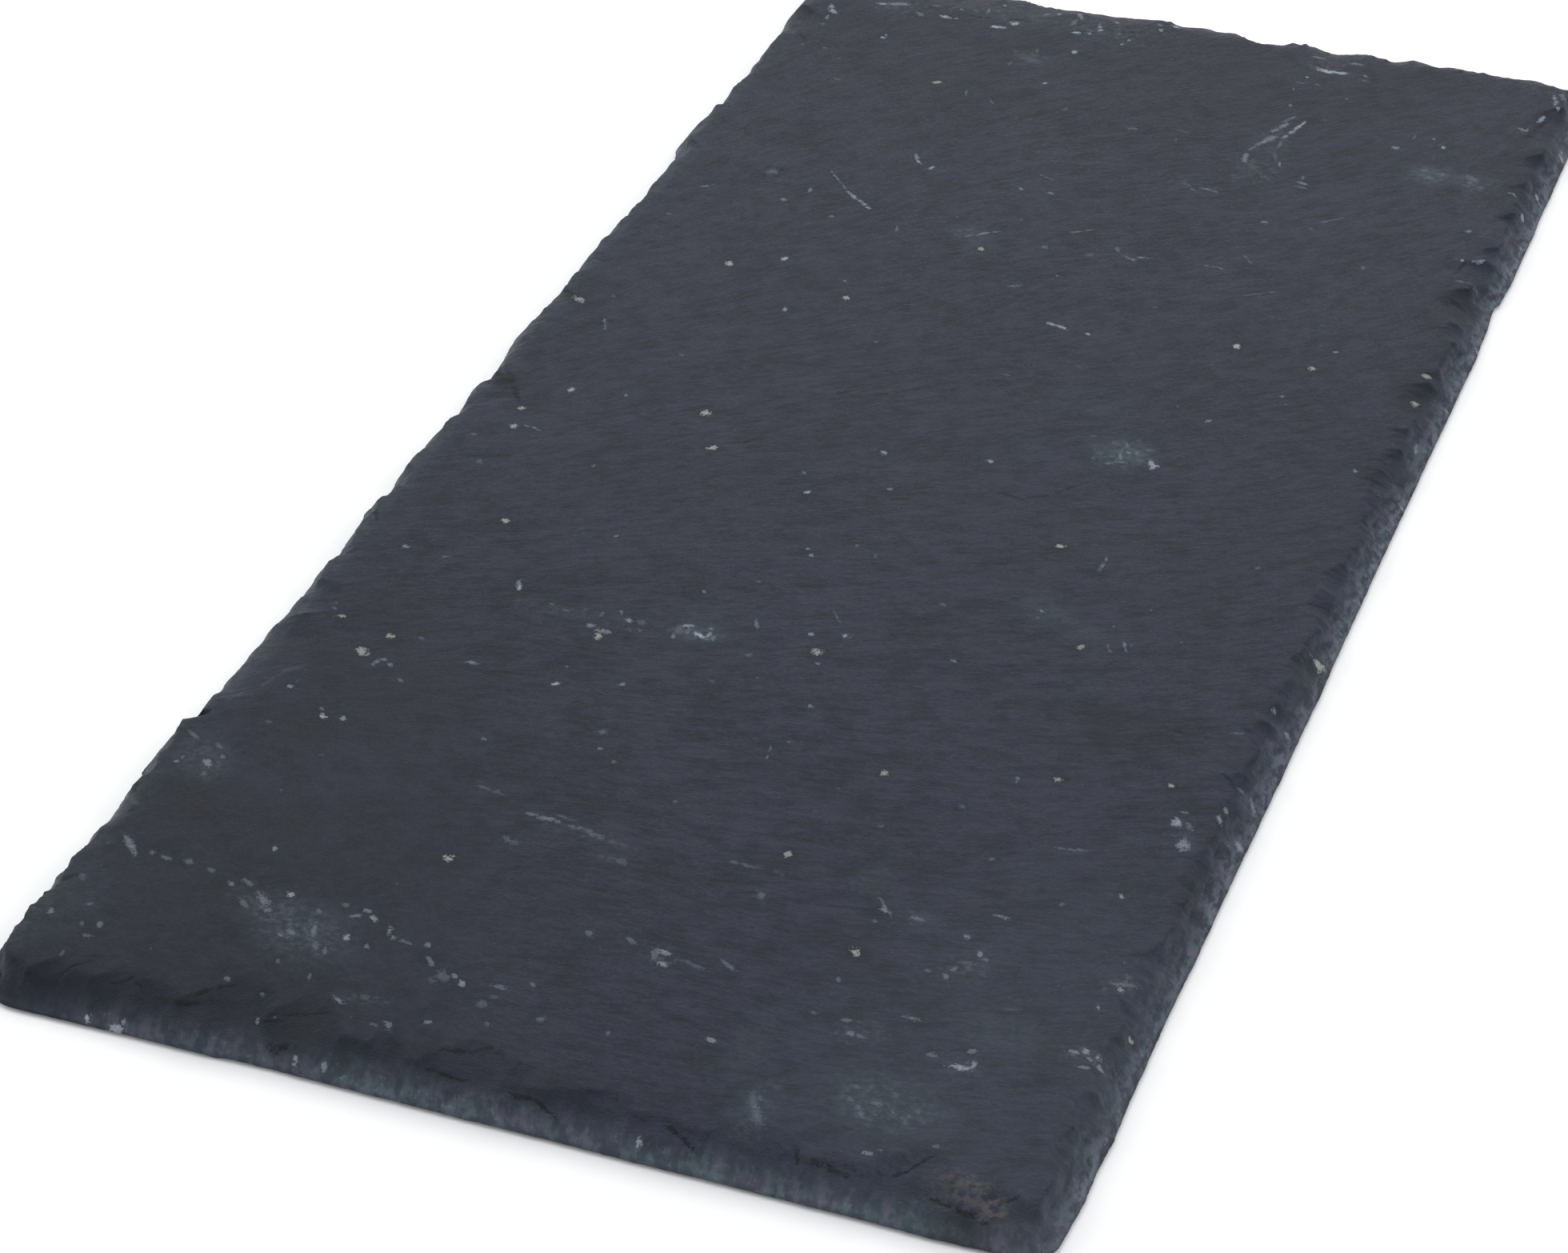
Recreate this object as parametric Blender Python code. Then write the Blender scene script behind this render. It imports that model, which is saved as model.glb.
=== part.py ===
"""Split slate tile with dressed edges, modelled as one closed solid.

The tile lies flat: X across it, Y along it, Z up, origin under its middle on the resting face.
The underside is flat. Each side is a steep fluted face with a shallow spalled strip above it,
where thin flakes left the top face, and the top face is a gently waving cleft surface.
"""
import bpy
import numpy as np
from mathutils.geometry import delaunay_2d_cdt

# Driving dimensions, in metres
WIDTH = 0.203
LENGTH = 0.451
THICKNESS = 0.0063
ARRIS_HEIGHT = 0.0005
ARRIS_INSET = 0.0006
BAND = 0.020
LEDGE_WIDTH = 0.0009
HALF_WIDTH = WIDTH / 2
HALF_LENGTH = LENGTH / 2

# Corner rounding, in metres, where each corner was knocked off
CORNER_RADII = {
    ("left", "front"): 0.013,
    ("right", "front"): 0.0055,
    ("left", "back"): 0.006,
    ("right", "back"): 0.005,
}

# Each side's outline, in millimetres: place along the side, how far the cusp there stands in
# from the nominal line, and how much deeper the bite runs between it and the next cusp
LEFT_CUSPS = (
    (-226, 3.0, 0.6), (-211, 2.2, 0.3), (-204, 1.2, 0.9), (-188, 1.2, 0.7), (-176, 1.4, 0.7),
    (-162, 1.1, 0.9), (-154, 0.4, 0.0), (-142.4, 0.1, 0.0), (-141.2, 2.2, 0.3), (-131, 1.4, 0.6),
    (-122, 1.8, 0.2), (-103, 1.7, 0.6), (-82, 1.7, 1.1), (-70, 1.9, 0.3), (-56, 0.6, 1.2),
    (-42, 1.1, 0.2), (-24, 1.1, 0.2), (-16, 1.9, 0.4), (-7, 1.4, 0.0), (-2.6, 0.7, 0.0),
    (-1.2, 2.4, 0.3), (11, 2.0, 0.1), (21, 0.5, 0.4), (36, 1.1, 0.8), (62, 1.0, 0.5),
    (75, 1.5, 0.8), (104, 1.5, 0.5), (114, 2.1, 0.0), (120, 0.2, 0.0), (138.2, 0.0, 0.0),
    (139.4, 2.3, 0.1), (153, 1.3, 0.8), (170, 1.1, 0.2), (188, 1.2, 0.0), (197, 0.0, 0.0),
    (207, 0.0, 0.2), (226, 1.0, 0.0),
)
BACK_CUSPS = (
    (-102, 1.5, 0.3), (-84, 0.6, 0.7), (-66, 0.8, 0.5), (-52, 0.4, 0.5), (-38, 1.0, 1.1),
    (-25, 0.2, 0.2), (-13, 0.0, 0.2), (-4, 0.3, 0.3), (10, 0.2, 0.8), (16.5, 3.6, 0.6),
    (23, 3.6, 0.0), (25, 0.2, 0.0), (31, 0.4, 1.5), (44, 1.3, 2.0), (55.5, 0.5, 0.7),
    (71, 0.0, 1.2), (80, 1.1, 0.3), (88, 1.6, 0.6), (102, 2.5, 0.0),
)
RIGHT_CUSPS = (
    (-226, 1.3, 0.0), (-208, 0.2, 0.3), (-192, 0.1, 0.2), (-172, 0.5, 0.2), (-142, 0.4, 0.1),
    (-82, 0.2, 0.1), (-52, 0.1, 0.1), (-20, 0.3, 0.1), (28, 0.3, 0.1), (62, 0.2, 0.1),
    (88, 0.1, 0.1), (102, 0.6, 0.2), (112.5, 1.2, 0.0), (114, 0.5, 0.0), (126, 0.0, 0.1),
    (150, 0.1, 0.2), (168, 0.3, 0.1), (200, 0.4, 0.3), (226, 1.5, 0.0),
)
FRONT_CUSPS = (
    (-102, 0.6, 0.0), (-82, 0.7, 0.1), (-52, 0.9, 0.3), (-34, 1.2, 0.0), (-2, 0.8, 0.1),
    (28, 0.6, 0.1), (58, 0.4, 0.1), (80, 0.0, 0.1), (102, 0.2, 0.0),
)

# The larger flakes missing from the top face, in millimetres: place along the side, half
# length, and how far the scar reaches in from the rim
LEFT_SPALLS = (
    (-172, 8, 6), (-150, 7, 5), (-117, 18, 14), (-96, 7, 11), (-8, 8, 12.5), (22, 9, 6),
    (52, 8, 5), (128, 12, 6), (189, 9, 10), (203, 7, 7),
)
BACK_SPALLS = (
    (-83, 11, 12), (-62, 13, 14), (-41, 10, 12), (-19, 12, 10), (3, 11, 9), (37, 9, 12),
    (65, 9, 7), (87, 8, 7),
)
RIGHT_SPALLS = (
    (-178, 9, 6), (-120, 8, 6), (-51, 7, 7), (-28, 7, 8), (21, 6, 9), (56, 9, 11),
    (100, 9, 12), (117, 6, 13), (174, 6, 9), (195, 12, 11),
)
FRONT_SPALLS = (
    (-71, 6, 9), (-50, 8, 14), (-36, 8, 12), (-5, 9, 12.5), (16, 8, 7), (31, 7, 6), (48, 8, 8),
    (76, 8, 14), (92, 6, 9),
)

# How each side was dressed: cusps, larger spalls, steep face run and height in metres, reach
# of the least spalls in metres, and the seed of the small spalls
SIDES = {
    "left": (LEFT_CUSPS, LEFT_SPALLS, 0.0024, 0.0036, 0.0035, 3),
    "right": (RIGHT_CUSPS, RIGHT_SPALLS, 0.0032, 0.0038, 0.0048, 5),
    "front": (FRONT_CUSPS, FRONT_SPALLS, 0.0016, 0.0043, 0.0055, 7),
    "back": (BACK_CUSPS, BACK_SPALLS, 0.0024, 0.0044, 0.0050, 11),
}

# Mesh density, in metres
RIM_SPACING = 0.0034
TOP_SPACING = 0.0105
UNDERSIDE_SPACING = 0.0410
SCAR_SHARE = (0.34, 0.70)

SLATE_COLOUR = (0.051, 0.056, 0.074, 1.0)
SLATE_ROUGHNESS = 0.55


def smooth_step(value):
    """Zero below 0, one above 1 and a smooth rise between."""
    t = np.clip(value, 0.0, 1.0)
    return t * t * (3.0 - 2.0 * t)


def waves(place, lengths, seed):
    """Sum of one sine for each wavelength, with seeded phases, between about -1 and 1."""
    phases = np.random.default_rng(seed).uniform(0.0, 2.0 * np.pi, len(lengths))
    total = np.zeros_like(place)
    for length, phase in zip(lengths, phases):
        total += np.sin(2.0 * np.pi * place / length + phase)
    return total / len(lengths)


def side_inset(side, place):
    """How far the rim stands in from the nominal side: a straight run from each cusp to the
    next, deepened by a parabolic bite between them."""
    cusps = np.array(SIDES[side][0]) * 0.001
    index = np.clip(np.searchsorted(cusps[:, 0], place) - 1, 0, len(cusps) - 2)
    first = cusps[index]
    second = cusps[index + 1]
    share = np.clip((place - first[..., 0]) / (second[..., 0] - first[..., 0]), 0.0, 1.0)
    chord = first[..., 1] + (second[..., 1] - first[..., 1]) * share
    return chord + first[..., 2] * 4.0 * share * (1.0 - share)


def small_spalls(side):
    """Seeded flakes along a side, as rows of place, half length and reach, in metres."""
    least_reach, seed = SIDES[side][4:6]
    half = HALF_LENGTH if side in ("left", "right") else HALF_WIDTH
    draw = np.random.default_rng(seed)
    rows = []
    place = -half
    while place < half:
        half_length = draw.uniform(0.0040, 0.0085)
        rows.append((place, half_length, least_reach * draw.uniform(0.85, 1.6)))
        place += half_length * draw.uniform(1.0, 1.6)
    return np.array(rows)


def side_reach(side, place):
    """How far the spalled strip reaches in: the outermost of half ellipses, one per flake."""
    flakes = np.vstack((np.array(SIDES[side][1]) * 0.001, small_spalls(side)))
    offset = (place[..., None] - flakes[:, 0]) / flakes[:, 1]
    scar = flakes[:, 2] * np.sqrt(np.clip(1.0 - offset * offset, 0.0, 1.0))
    return np.maximum(scar.max(axis=-1), SIDES[side][4] * 0.75)


def side_distances(x, y):
    """Distance of each point inside each side's rim line."""
    return {
        "left": x + HALF_WIDTH - side_inset("left", y),
        "right": HALF_WIDTH - side_inset("right", y) - x,
        "front": y + HALF_LENGTH - side_inset("front", x),
        "back": HALF_LENGTH - side_inset("back", x) - y,
    }


def rim_distance(inside):
    """Distance inside the whole rim, with a round corner where two sides meet."""
    nearest = np.minimum.reduce(list(inside.values()))
    for (across, along), radius in CORNER_RADII.items():
        short_x = np.clip(radius - inside[across], 0.0, None)
        short_y = np.clip(radius - inside[along], 0.0, None)
        in_corner = (short_x > 0.0) & (short_y > 0.0)
        nearest = np.where(in_corner, radius - np.hypot(short_x, short_y), nearest)
    return nearest


def dressing(x, y, inside):
    """Steep run, steep height, spall reach and ledge height at each point, blended between
    the sides by the fourth power of their nearness."""
    totals = np.zeros((4,) + x.shape)
    weight_sum = np.zeros_like(x)
    for side, (_, _, steep_run, steep_height, _, seed) in SIDES.items():
        place = y if side in ("left", "right") else x
        weight = np.clip(inside[side], 0.0003, None) ** -4.0
        run = steep_run * (1.0 + 0.30 * waves(place, (0.031, 0.017, 0.0093), seed))
        height = steep_height * (1.0 + 0.12 * waves(place, (0.047, 0.019, 0.0108), seed + 1))
        reach = np.maximum(side_reach(side, place), run + 0.0012)
        ledge = 0.0004 + 0.0003 * waves(place, (0.053, 0.023), seed + 2)
        for row, value in enumerate((run, height, reach, ledge)):
            totals[row] += weight * value
        weight_sum += weight
    return totals / weight_sum


def top_height(x, y):
    """The cleft top face: its mean level and long shallow waves."""
    slant = 0.85 * x + 0.53 * y
    swell = waves(y, (0.310, 0.173), 21) + waves(x, (0.143, 0.088), 22)
    return THICKNESS + 0.00016 * swell + 0.00009 * waves(slant, (0.061, 0.037), 23)


def surface_height(x, y):
    """Height of the outer surface over each point: the steep face from the arris up, then the
    dished scar of the spalled strip, the ledge at its inner end and the cleft top face."""
    inside = side_distances(x, y)
    depth = rim_distance(inside)
    run, height, reach, ledge = dressing(x, y, inside)
    top = top_height(x, y)
    steep_share = np.clip(depth / run, 0.0, 1.0)
    scar_share = np.clip((depth - run) / (reach - run), 0.0, 1.0)
    ledge_share = smooth_step((depth - reach) / LEDGE_WIDTH)
    steep = ARRIS_HEIGHT + (height - ARRIS_HEIGHT) * steep_share ** 0.85
    scar = (top - ledge - height) * scar_share ** 0.75
    return np.where(depth < run, steep, height + scar + ledge * ledge_share)


def rim_points(count_x, count_y):
    """Rim points and the band's inner points, once round from the front left corner.

    Each side is walked in equal shares of the band's inner rectangle, and each share is carried
    out to the same share of the nominal rectangle. The rim point is found along that column
    where the distance inside the rim is nought."""
    share_x = np.arange(count_x) / count_x * 2.0 - 1.0
    share_y = np.arange(count_y) / count_y * 2.0 - 1.0
    one_x = np.ones(count_x)
    one_y = np.ones(count_y)
    unit_x = np.concatenate((share_x, one_y, -share_x, -one_y))
    unit_y = np.concatenate((-one_x, share_y, one_x, -share_y))
    inner = np.stack((unit_x * (HALF_WIDTH - BAND), unit_y * (HALF_LENGTH - BAND)), axis=1)
    outer = np.stack((unit_x * HALF_WIDTH, unit_y * HALF_LENGTH), axis=1)
    low = np.zeros(len(unit_x))
    high = np.full(len(unit_x), 0.9)
    for _ in range(30):
        middle = (low + high) / 2.0
        point = outer + (inner - outer) * middle[:, None]
        is_inside = rim_distance(side_distances(point[:, 0], point[:, 1])) > 0.0
        high = np.where(is_inside, middle, high)
        low = np.where(is_inside, low, middle)
    return outer + (inner - outer) * high[:, None], inner


def ring(rim, inner, inset):
    """The rim moved in towards the band's inner rectangle by each point's own inset."""
    depth = BAND - (np.abs(rim - inner).max(axis=1) - BAND)
    return rim + (inner - rim) * (inset / np.minimum(depth, BAND))[:, None]


def lattice(spacing, margin):
    """Offset rows of points over the tile, kept clear of the rim by the margin."""
    columns = int(WIDTH / spacing)
    rows = int(LENGTH / (spacing * 0.87))
    column, row = np.meshgrid(np.arange(columns + 1), np.arange(rows + 1))
    x = ((column + 0.5 * (row % 2) + 0.3) / columns - 0.5) * WIDTH
    y = ((row + 0.4) / rows - 0.5) * LENGTH
    inside = side_distances(x, y)
    keep = rim_distance(inside) > margin(x, y, inside)
    return np.stack((x[keep], y[keep]), axis=1)


def fill(loop, extra):
    """Delaunay triangles over a closed loop of points and the loose points inside it."""
    count = len(loop)
    points = [tuple(point) for point in np.vstack((loop, extra))]
    edges = [(index, (index + 1) % count) for index in range(count)]
    result = delaunay_2d_cdt(points, edges, [], 1, 1e-7)
    origin = [sources[0] for sources in result[3]]
    return [[origin[corner] for corner in face] for face in result[2]]


def slate_mesh():
    """Vertices and faces of the whole slate: rings from the underside's arris up over the
    spalled strip, with the underside and the top face filled in."""
    count_x = int(WIDTH / RIM_SPACING)
    count_y = int(LENGTH / RIM_SPACING)
    rim, inner = rim_points(count_x, count_y)
    inside = side_distances(rim[:, 0], rim[:, 1])
    run, _, reach, _ = dressing(rim[:, 0], rim[:, 1], inside)
    insets = [np.zeros(len(rim)), run]
    insets += [run + (reach - run) * share for share in SCAR_SHARE]
    insets += [reach, reach + LEDGE_WIDTH]
    bottom = ring(rim, inner, np.full(len(rim), ARRIS_INSET))
    flats = [bottom] + [ring(rim, inner, inset) for inset in insets]
    heights = [np.zeros(len(rim))] + [surface_height(flat[:, 0], flat[:, 1]) for flat in flats[1:]]
    count = len(rim)
    rings = len(flats)
    faces = []
    for level in range(rings - 1):
        for index in range(count):
            following = (index + 1) % count
            below = level * count
            above = below + count
            faces.append((below + index, below + following, above + following, above + index))

    def top_margin(x, y, inside):
        return dressing(x, y, inside)[2] + LEDGE_WIDTH + TOP_SPACING * 0.45

    def underside_margin(x, y, inside):
        return np.full_like(x, ARRIS_INSET + RIM_SPACING)

    top_points = lattice(TOP_SPACING, top_margin)
    base_points = lattice(UNDERSIDE_SPACING, underside_margin)
    top_start = rings * count
    base_start = top_start + len(top_points)
    last_ring = (rings - 1) * count
    for face in fill(flats[-1], top_points):
        faces.append([last_ring + i if i < count else top_start + i - count for i in face])
    for face in fill(bottom, base_points):
        faces.append([i if i < count else base_start + i - count for i in reversed(face)])
    flat = np.vstack(flats + [top_points, base_points])
    top_z = surface_height(top_points[:, 0], top_points[:, 1])
    height = np.concatenate(heights + [top_z, np.zeros(len(base_points))])
    return np.column_stack((flat, height)), faces


def slate_material():
    """Dark blue-grey stone, dull, with no metal."""
    material = bpy.data.materials.new("slate")
    material.use_nodes = True
    shader = material.node_tree.nodes["Principled BSDF"]
    shader.inputs["Base Color"].default_value = SLATE_COLOUR
    shader.inputs["Roughness"].default_value = SLATE_ROUGHNESS
    shader.inputs["Metallic"].default_value = 0.0
    return material


def clear_scene():
    """Remove every object of the open scene."""
    for item in list(bpy.data.objects):
        bpy.data.objects.remove(item, do_unlink=True)


def main():
    clear_scene()
    points, faces = slate_mesh()
    mesh = bpy.data.meshes.new("slate_tile")
    mesh.from_pydata([tuple(point) for point in points], [], faces)
    mesh.validate()
    mesh.update()
    mesh.materials.append(slate_material())
    tile = bpy.data.objects.new("slate_tile", mesh)
    bpy.context.scene.collection.objects.link(tile)
    return tile


main()
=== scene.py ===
"""Finish of a split slate tile: its cleft top face, spalled edges, mineral flecks and scuffs."""
import math
from typing import NamedTuple

import bpy
import numpy as np
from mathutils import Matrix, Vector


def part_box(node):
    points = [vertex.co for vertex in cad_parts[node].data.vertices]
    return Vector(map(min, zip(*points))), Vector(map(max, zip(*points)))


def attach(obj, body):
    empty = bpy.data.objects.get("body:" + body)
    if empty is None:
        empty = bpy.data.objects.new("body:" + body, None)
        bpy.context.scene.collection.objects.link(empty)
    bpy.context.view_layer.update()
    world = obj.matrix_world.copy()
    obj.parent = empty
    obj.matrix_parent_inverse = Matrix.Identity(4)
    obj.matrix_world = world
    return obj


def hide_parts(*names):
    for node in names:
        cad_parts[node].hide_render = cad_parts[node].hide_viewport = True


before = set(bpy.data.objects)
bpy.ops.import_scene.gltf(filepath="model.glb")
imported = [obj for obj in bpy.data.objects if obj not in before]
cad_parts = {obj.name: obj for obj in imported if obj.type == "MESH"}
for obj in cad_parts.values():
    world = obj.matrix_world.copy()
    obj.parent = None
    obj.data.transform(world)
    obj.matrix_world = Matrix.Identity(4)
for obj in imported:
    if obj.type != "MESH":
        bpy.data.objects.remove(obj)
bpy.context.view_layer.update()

# The tile's box from the frame, then its mean thickness, the broken arris under it, the band
# round the top that the rings cover and the ledges' width, in metres
LOW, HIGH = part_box("slate_tile")
HALF_WIDTH = (HIGH[0] - LOW[0]) / 2
HALF_LENGTH = (HIGH[1] - LOW[1]) / 2
THICKNESS = 0.0063
ARRIS_HEIGHT = 0.0005
ARRIS_INSET = 0.0006
BAND = 0.020
LEDGE_WIDTH = 0.0009
MM = 0.001
# Points above this height belong to the top face and the sides, the others to the underside
ABOVE_ARRIS = ARRIS_HEIGHT / 2

# Grid of the top face inside the band, and how the rim's columns and rings are shared out
GRID_X = 100
GRID_Y = 248
RIM_SPLIT = 4
STEEP_SHARES = (0.25, 0.50, 0.75, 1.0)
SCAR_SHARES = (0.12, 0.28, 0.44, 0.60, 0.76, 0.90, 1.0)
LEDGE_SHARES = (0.35, 0.70, 1.0)
INNER_SHARES = (0.20, 0.40, 0.60, 0.80)
INNER_STEPS = (2, 2, 2, 4)
# Columns to one chip of the arris, and the underside's rings: share of the band, and the step
# in columns
ARRIS_COLUMNS = 5.0
UNDERSIDE_RINGS = ((0.10, 2), (0.30, 4), (1.0, 8))

# Camera, fitted to the tile's four sides in the photograph
CAMERA_PLACE = (0.23235, -0.70366, 0.45159)
CAMERA_PITCH = 33.512
CAMERA_YAW = 20.360
CAMERA_LENS = 94.366
SENSOR_WIDTH = 36.0

# Corner rounding, in metres, where each corner was knocked off
CORNER_RADII = {
    ("left", "front"): 0.0095,
    ("right", "front"): 0.0055,
    ("left", "back"): 0.006,
    ("right", "back"): 0.005,
}

# Each side's outline, in millimetres: place along the side, how far the cusp there stands in
# from the nominal line, and how much deeper the bite runs between it and the next cusp
LEFT_CUSPS = (
    (-226, 3.0, 0.6), (-211, 2.2, 0.3), (-204, 1.2, 0.9), (-188, 1.2, 0.7), (-176, 1.4, 0.7),
    (-162, 1.1, 0.9), (-154, 0.4, 0.0), (-142.4, 0.1, 0.0), (-141.2, 2.2, 0.3), (-131, 1.4, 0.6),
    (-122, 1.8, 0.2), (-103, 1.7, 0.6), (-82, 1.7, 1.1), (-70, 1.9, 0.3), (-56, 0.6, 1.2),
    (-42, 1.1, 0.2), (-24, 1.1, 0.2), (-16, 1.9, 0.4), (-7, 1.4, 0.0), (-2.6, 0.7, 0.0),
    (-1.2, 2.4, 0.3), (11, 2.0, 0.1), (21, 0.5, 0.4), (36, 1.1, 0.8), (62, 1.0, 0.5),
    (75, 1.5, 0.8), (104, 1.5, 0.5), (114, 2.1, 0.0), (120, 0.2, 0.0), (136.4, 0.0, 0.0),
    (137.6, 2.3, 0.1), (153, 1.3, 0.8), (170, 1.1, 0.2), (188, 1.2, 0.0), (197, 0.0, 0.0),
    (207, 0.0, 0.2), (226, 1.0, 0.0),
)
BACK_CUSPS = (
    (-102, 1.5, 0.3), (-84, 0.6, 0.7), (-66, 0.8, 0.5), (-52, 0.4, 0.5), (-38, 1.0, 1.1),
    (-25, 0.2, 0.2), (-13, 0.0, 0.2), (-4, 0.3, 0.3), (10, 0.2, 0.8), (16.5, 3.6, 0.6),
    (23, 3.6, 0.0), (25, 0.2, 0.0), (31, 0.4, 1.5), (44, 1.3, 2.0), (55.5, 0.5, 0.7),
    (71, 0.0, 1.2), (80, 1.1, 0.3), (88, 1.6, 0.6), (102, 2.5, 0.0),
)
RIGHT_CUSPS = (
    (-226, 1.3, 0.0), (-208, 0.2, 0.3), (-192, 0.1, 0.2), (-172, 0.5, 0.2), (-142, 0.4, 0.1),
    (-82, 0.2, 0.1), (-52, 0.1, 0.1), (-20, 0.3, 0.1), (28, 0.3, 0.1), (62, 0.2, 0.1),
    (88, 0.1, 0.1), (102, 0.6, 0.2), (112.5, 1.2, 0.0), (114, 0.5, 0.0), (126, 0.0, 0.1),
    (150, 0.1, 0.2), (168, 0.3, 0.1), (200, 0.4, 0.3), (226, 1.5, 0.0),
)
FRONT_CUSPS = (
    (-102, 0.6, 0.0), (-82, 0.7, 0.1), (-52, 0.9, 0.3), (-34, 1.2, 0.0), (-2, 0.8, 0.1),
    (28, 0.6, 0.1), (58, 0.4, 0.1), (80, 0.0, 0.1), (102, 0.2, 0.0),
)

# The larger flakes missing from the top face, in millimetres: place along the side, half
# length, and how far the scar reaches in from the rim
LEFT_SPALLS = (
    (-172, 8, 6), (-150, 7, 5), (-117, 18, 14), (-96, 7, 11), (-8, 8, 12.5), (22, 9, 6),
    (52, 8, 5), (128, 12, 6), (189, 9, 10), (203, 7, 7),
)
BACK_SPALLS = (
    (-83, 11, 12), (-62, 13, 14), (-41, 10, 12), (-19, 12, 10), (3, 11, 9), (37, 9, 12),
    (65, 9, 7), (87, 8, 7),
)
RIGHT_SPALLS = (
    (-178, 9, 6), (-120, 8, 6), (-51, 7, 7), (-28, 7, 8), (21, 6, 9), (56, 9, 11),
    (100, 9, 12), (117, 6, 13), (174, 6, 9), (195, 12, 11),
)
FRONT_SPALLS = (
    (-71, 6, 9), (-50, 8, 14), (-36, 8, 12), (-5, 9, 12.5), (16, 8, 7), (31, 7, 6), (48, 8, 8),
    (76, 8, 14), (92, 6, 9),
)


class Side(NamedTuple):
    """How one side was dressed. Cusps and spalls are in millimetres, other sizes in metres."""
    cusps: tuple
    spalls: tuple
    run: float  # how far the steep face runs in
    height: float  # how high the steep face stands
    reach: float  # how far the least spalls reach in
    seed: int  # seed of the side's own random patterns
    roughness: float  # crumble of the rim
    fluting: float  # depth of the fluting as a share of the run
    ledge: float  # height of the ledge at the scars' inner ends
    fade: float  # how far the crushed tone fades in over the scars
    crushed: float  # share of the run that is crushed
    cells_along: float  # mottling cells for each millimetre along the side
    cells_down: float  # and down it


SIDES = {
    "left": Side(
        LEFT_CUSPS, LEFT_SPALLS, run=0.0024, height=0.0036, reach=0.0035, seed=3,
        roughness=0.00022, fluting=0.04, ledge=0.00016, fade=0.0060, crushed=1.0,
        cells_along=0.30, cells_down=0.30,
    ),
    "right": Side(
        RIGHT_CUSPS, RIGHT_SPALLS, run=0.0032, height=0.0038, reach=0.0048, seed=5,
        roughness=0.00008, fluting=0.03, ledge=0.00014, fade=0.0016, crushed=0.76,
        cells_along=0.24, cells_down=0.34,
    ),
    "front": Side(
        FRONT_CUSPS, FRONT_SPALLS, run=0.0016, height=0.0043, reach=0.0055, seed=7,
        roughness=0.00006, fluting=0.05, ledge=0.00026, fade=0.0030, crushed=1.1,
        cells_along=0.44, cells_down=0.13,
    ),
    "back": Side(
        BACK_CUSPS, BACK_SPALLS, run=0.0024, height=0.0044, reach=0.0050, seed=11,
        roughness=0.00025, fluting=0.06, ledge=0.00020, fade=0.0070, crushed=1.0,
        cells_along=0.40, cells_down=0.35,
    ),
}

# Cells of the rim's crumble, coarse and fine, and of the steep face's flutes, in metres
CRUMBLE_CELLS = (0.0016, 0.0007)
FLUTE_CELL = 0.0011
# Small flakes: half length in metres, reach as a share of the side's own, and the step to the
# next flake as a share of the half length, each from least to most
FLAKE_HALF_LENGTH = (0.0040, 0.0085)
FLAKE_REACH = (0.85, 1.6)
FLAKE_STEP = (1.0, 1.6)
# How far the flakes' ends wander along the side and how ragged their reach is, with the cells
# of both in metres, and the reach left between flakes as a share of the side's own
FLAKE_WANDER = 0.0005
WANDER_CELL = 0.0021
REACH_RAGGED = 0.07
RAGGED_CELL = 0.0011
REACH_BETWEEN = 0.75
# Sway of the steep run, the steep height and the ledge: its share, and its wavelengths in metres
RUN_SWAY = (0.30, (0.031, 0.017, 0.0093))
HEIGHT_SWAY = (0.12, (0.047, 0.019, 0.0108))
LEDGE_SWAY = (0.9, (0.053, 0.023))
# Small steps in the steep height and the least width of a scar, in metres
HEIGHT_STEP = 0.0003
HEIGHT_STEP_CELL = 0.0031
LEAST_SCAR = 0.0012
# Relief of the top face, in metres: heights, with wavelengths or cells
SWELL_HEIGHT = 0.00016
SWELL_ALONG = (0.310, 0.173)
SWELL_ACROSS = (0.143, 0.088)
SLANT_HEIGHT = 0.00009
SLANT_LENGTHS = (0.061, 0.037)
SLANT_DIRECTION = (0.85, 0.53)
STRAND_HEIGHT = 0.000035
STRAND_CELLS = (0.0048, 0.021)
FINE_STRAND_CELLS = (0.0026, 0.011)
FINE_HEIGHT = 0.000010
FINE_CELL = 0.0043
# The scars' hackle, in metres: height and cells, coarse and fine
HACKLE_HEIGHT = 0.00013
HACKLE_CELLS = (0.0028, 0.0012)
# Sides are blended by a power of the distance inside them, which counts as at least so much
NEARNESS_POWER = -4.0
LEAST_NEARNESS = 0.0003
# Halvings that find the rim on a column, and the share of the column it is looked for in
HALVINGS = 30
RIM_SEARCH = 0.9
# The grain's turn: half extents it is counted in, and its slow sway in degrees and its cell
GRAIN_ACROSS = 0.100
GRAIN_ALONG = 0.200
GRAIN_SWAY = 8.0
GRAIN_SWAY_CELL = 0.021
# Powers that bend the steep face and the scar's slope
STEEP_POWER = 0.85
SCAR_POWER = 0.75
# The corner worn thin: its place, the size of the worn part in metres and how much of the
# steep face's height is gone at the corner
WORN_CORNER = (-0.1015, -0.2255)
WORN_SIZE = 0.030
WORN_SHARE = 0.78

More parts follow.
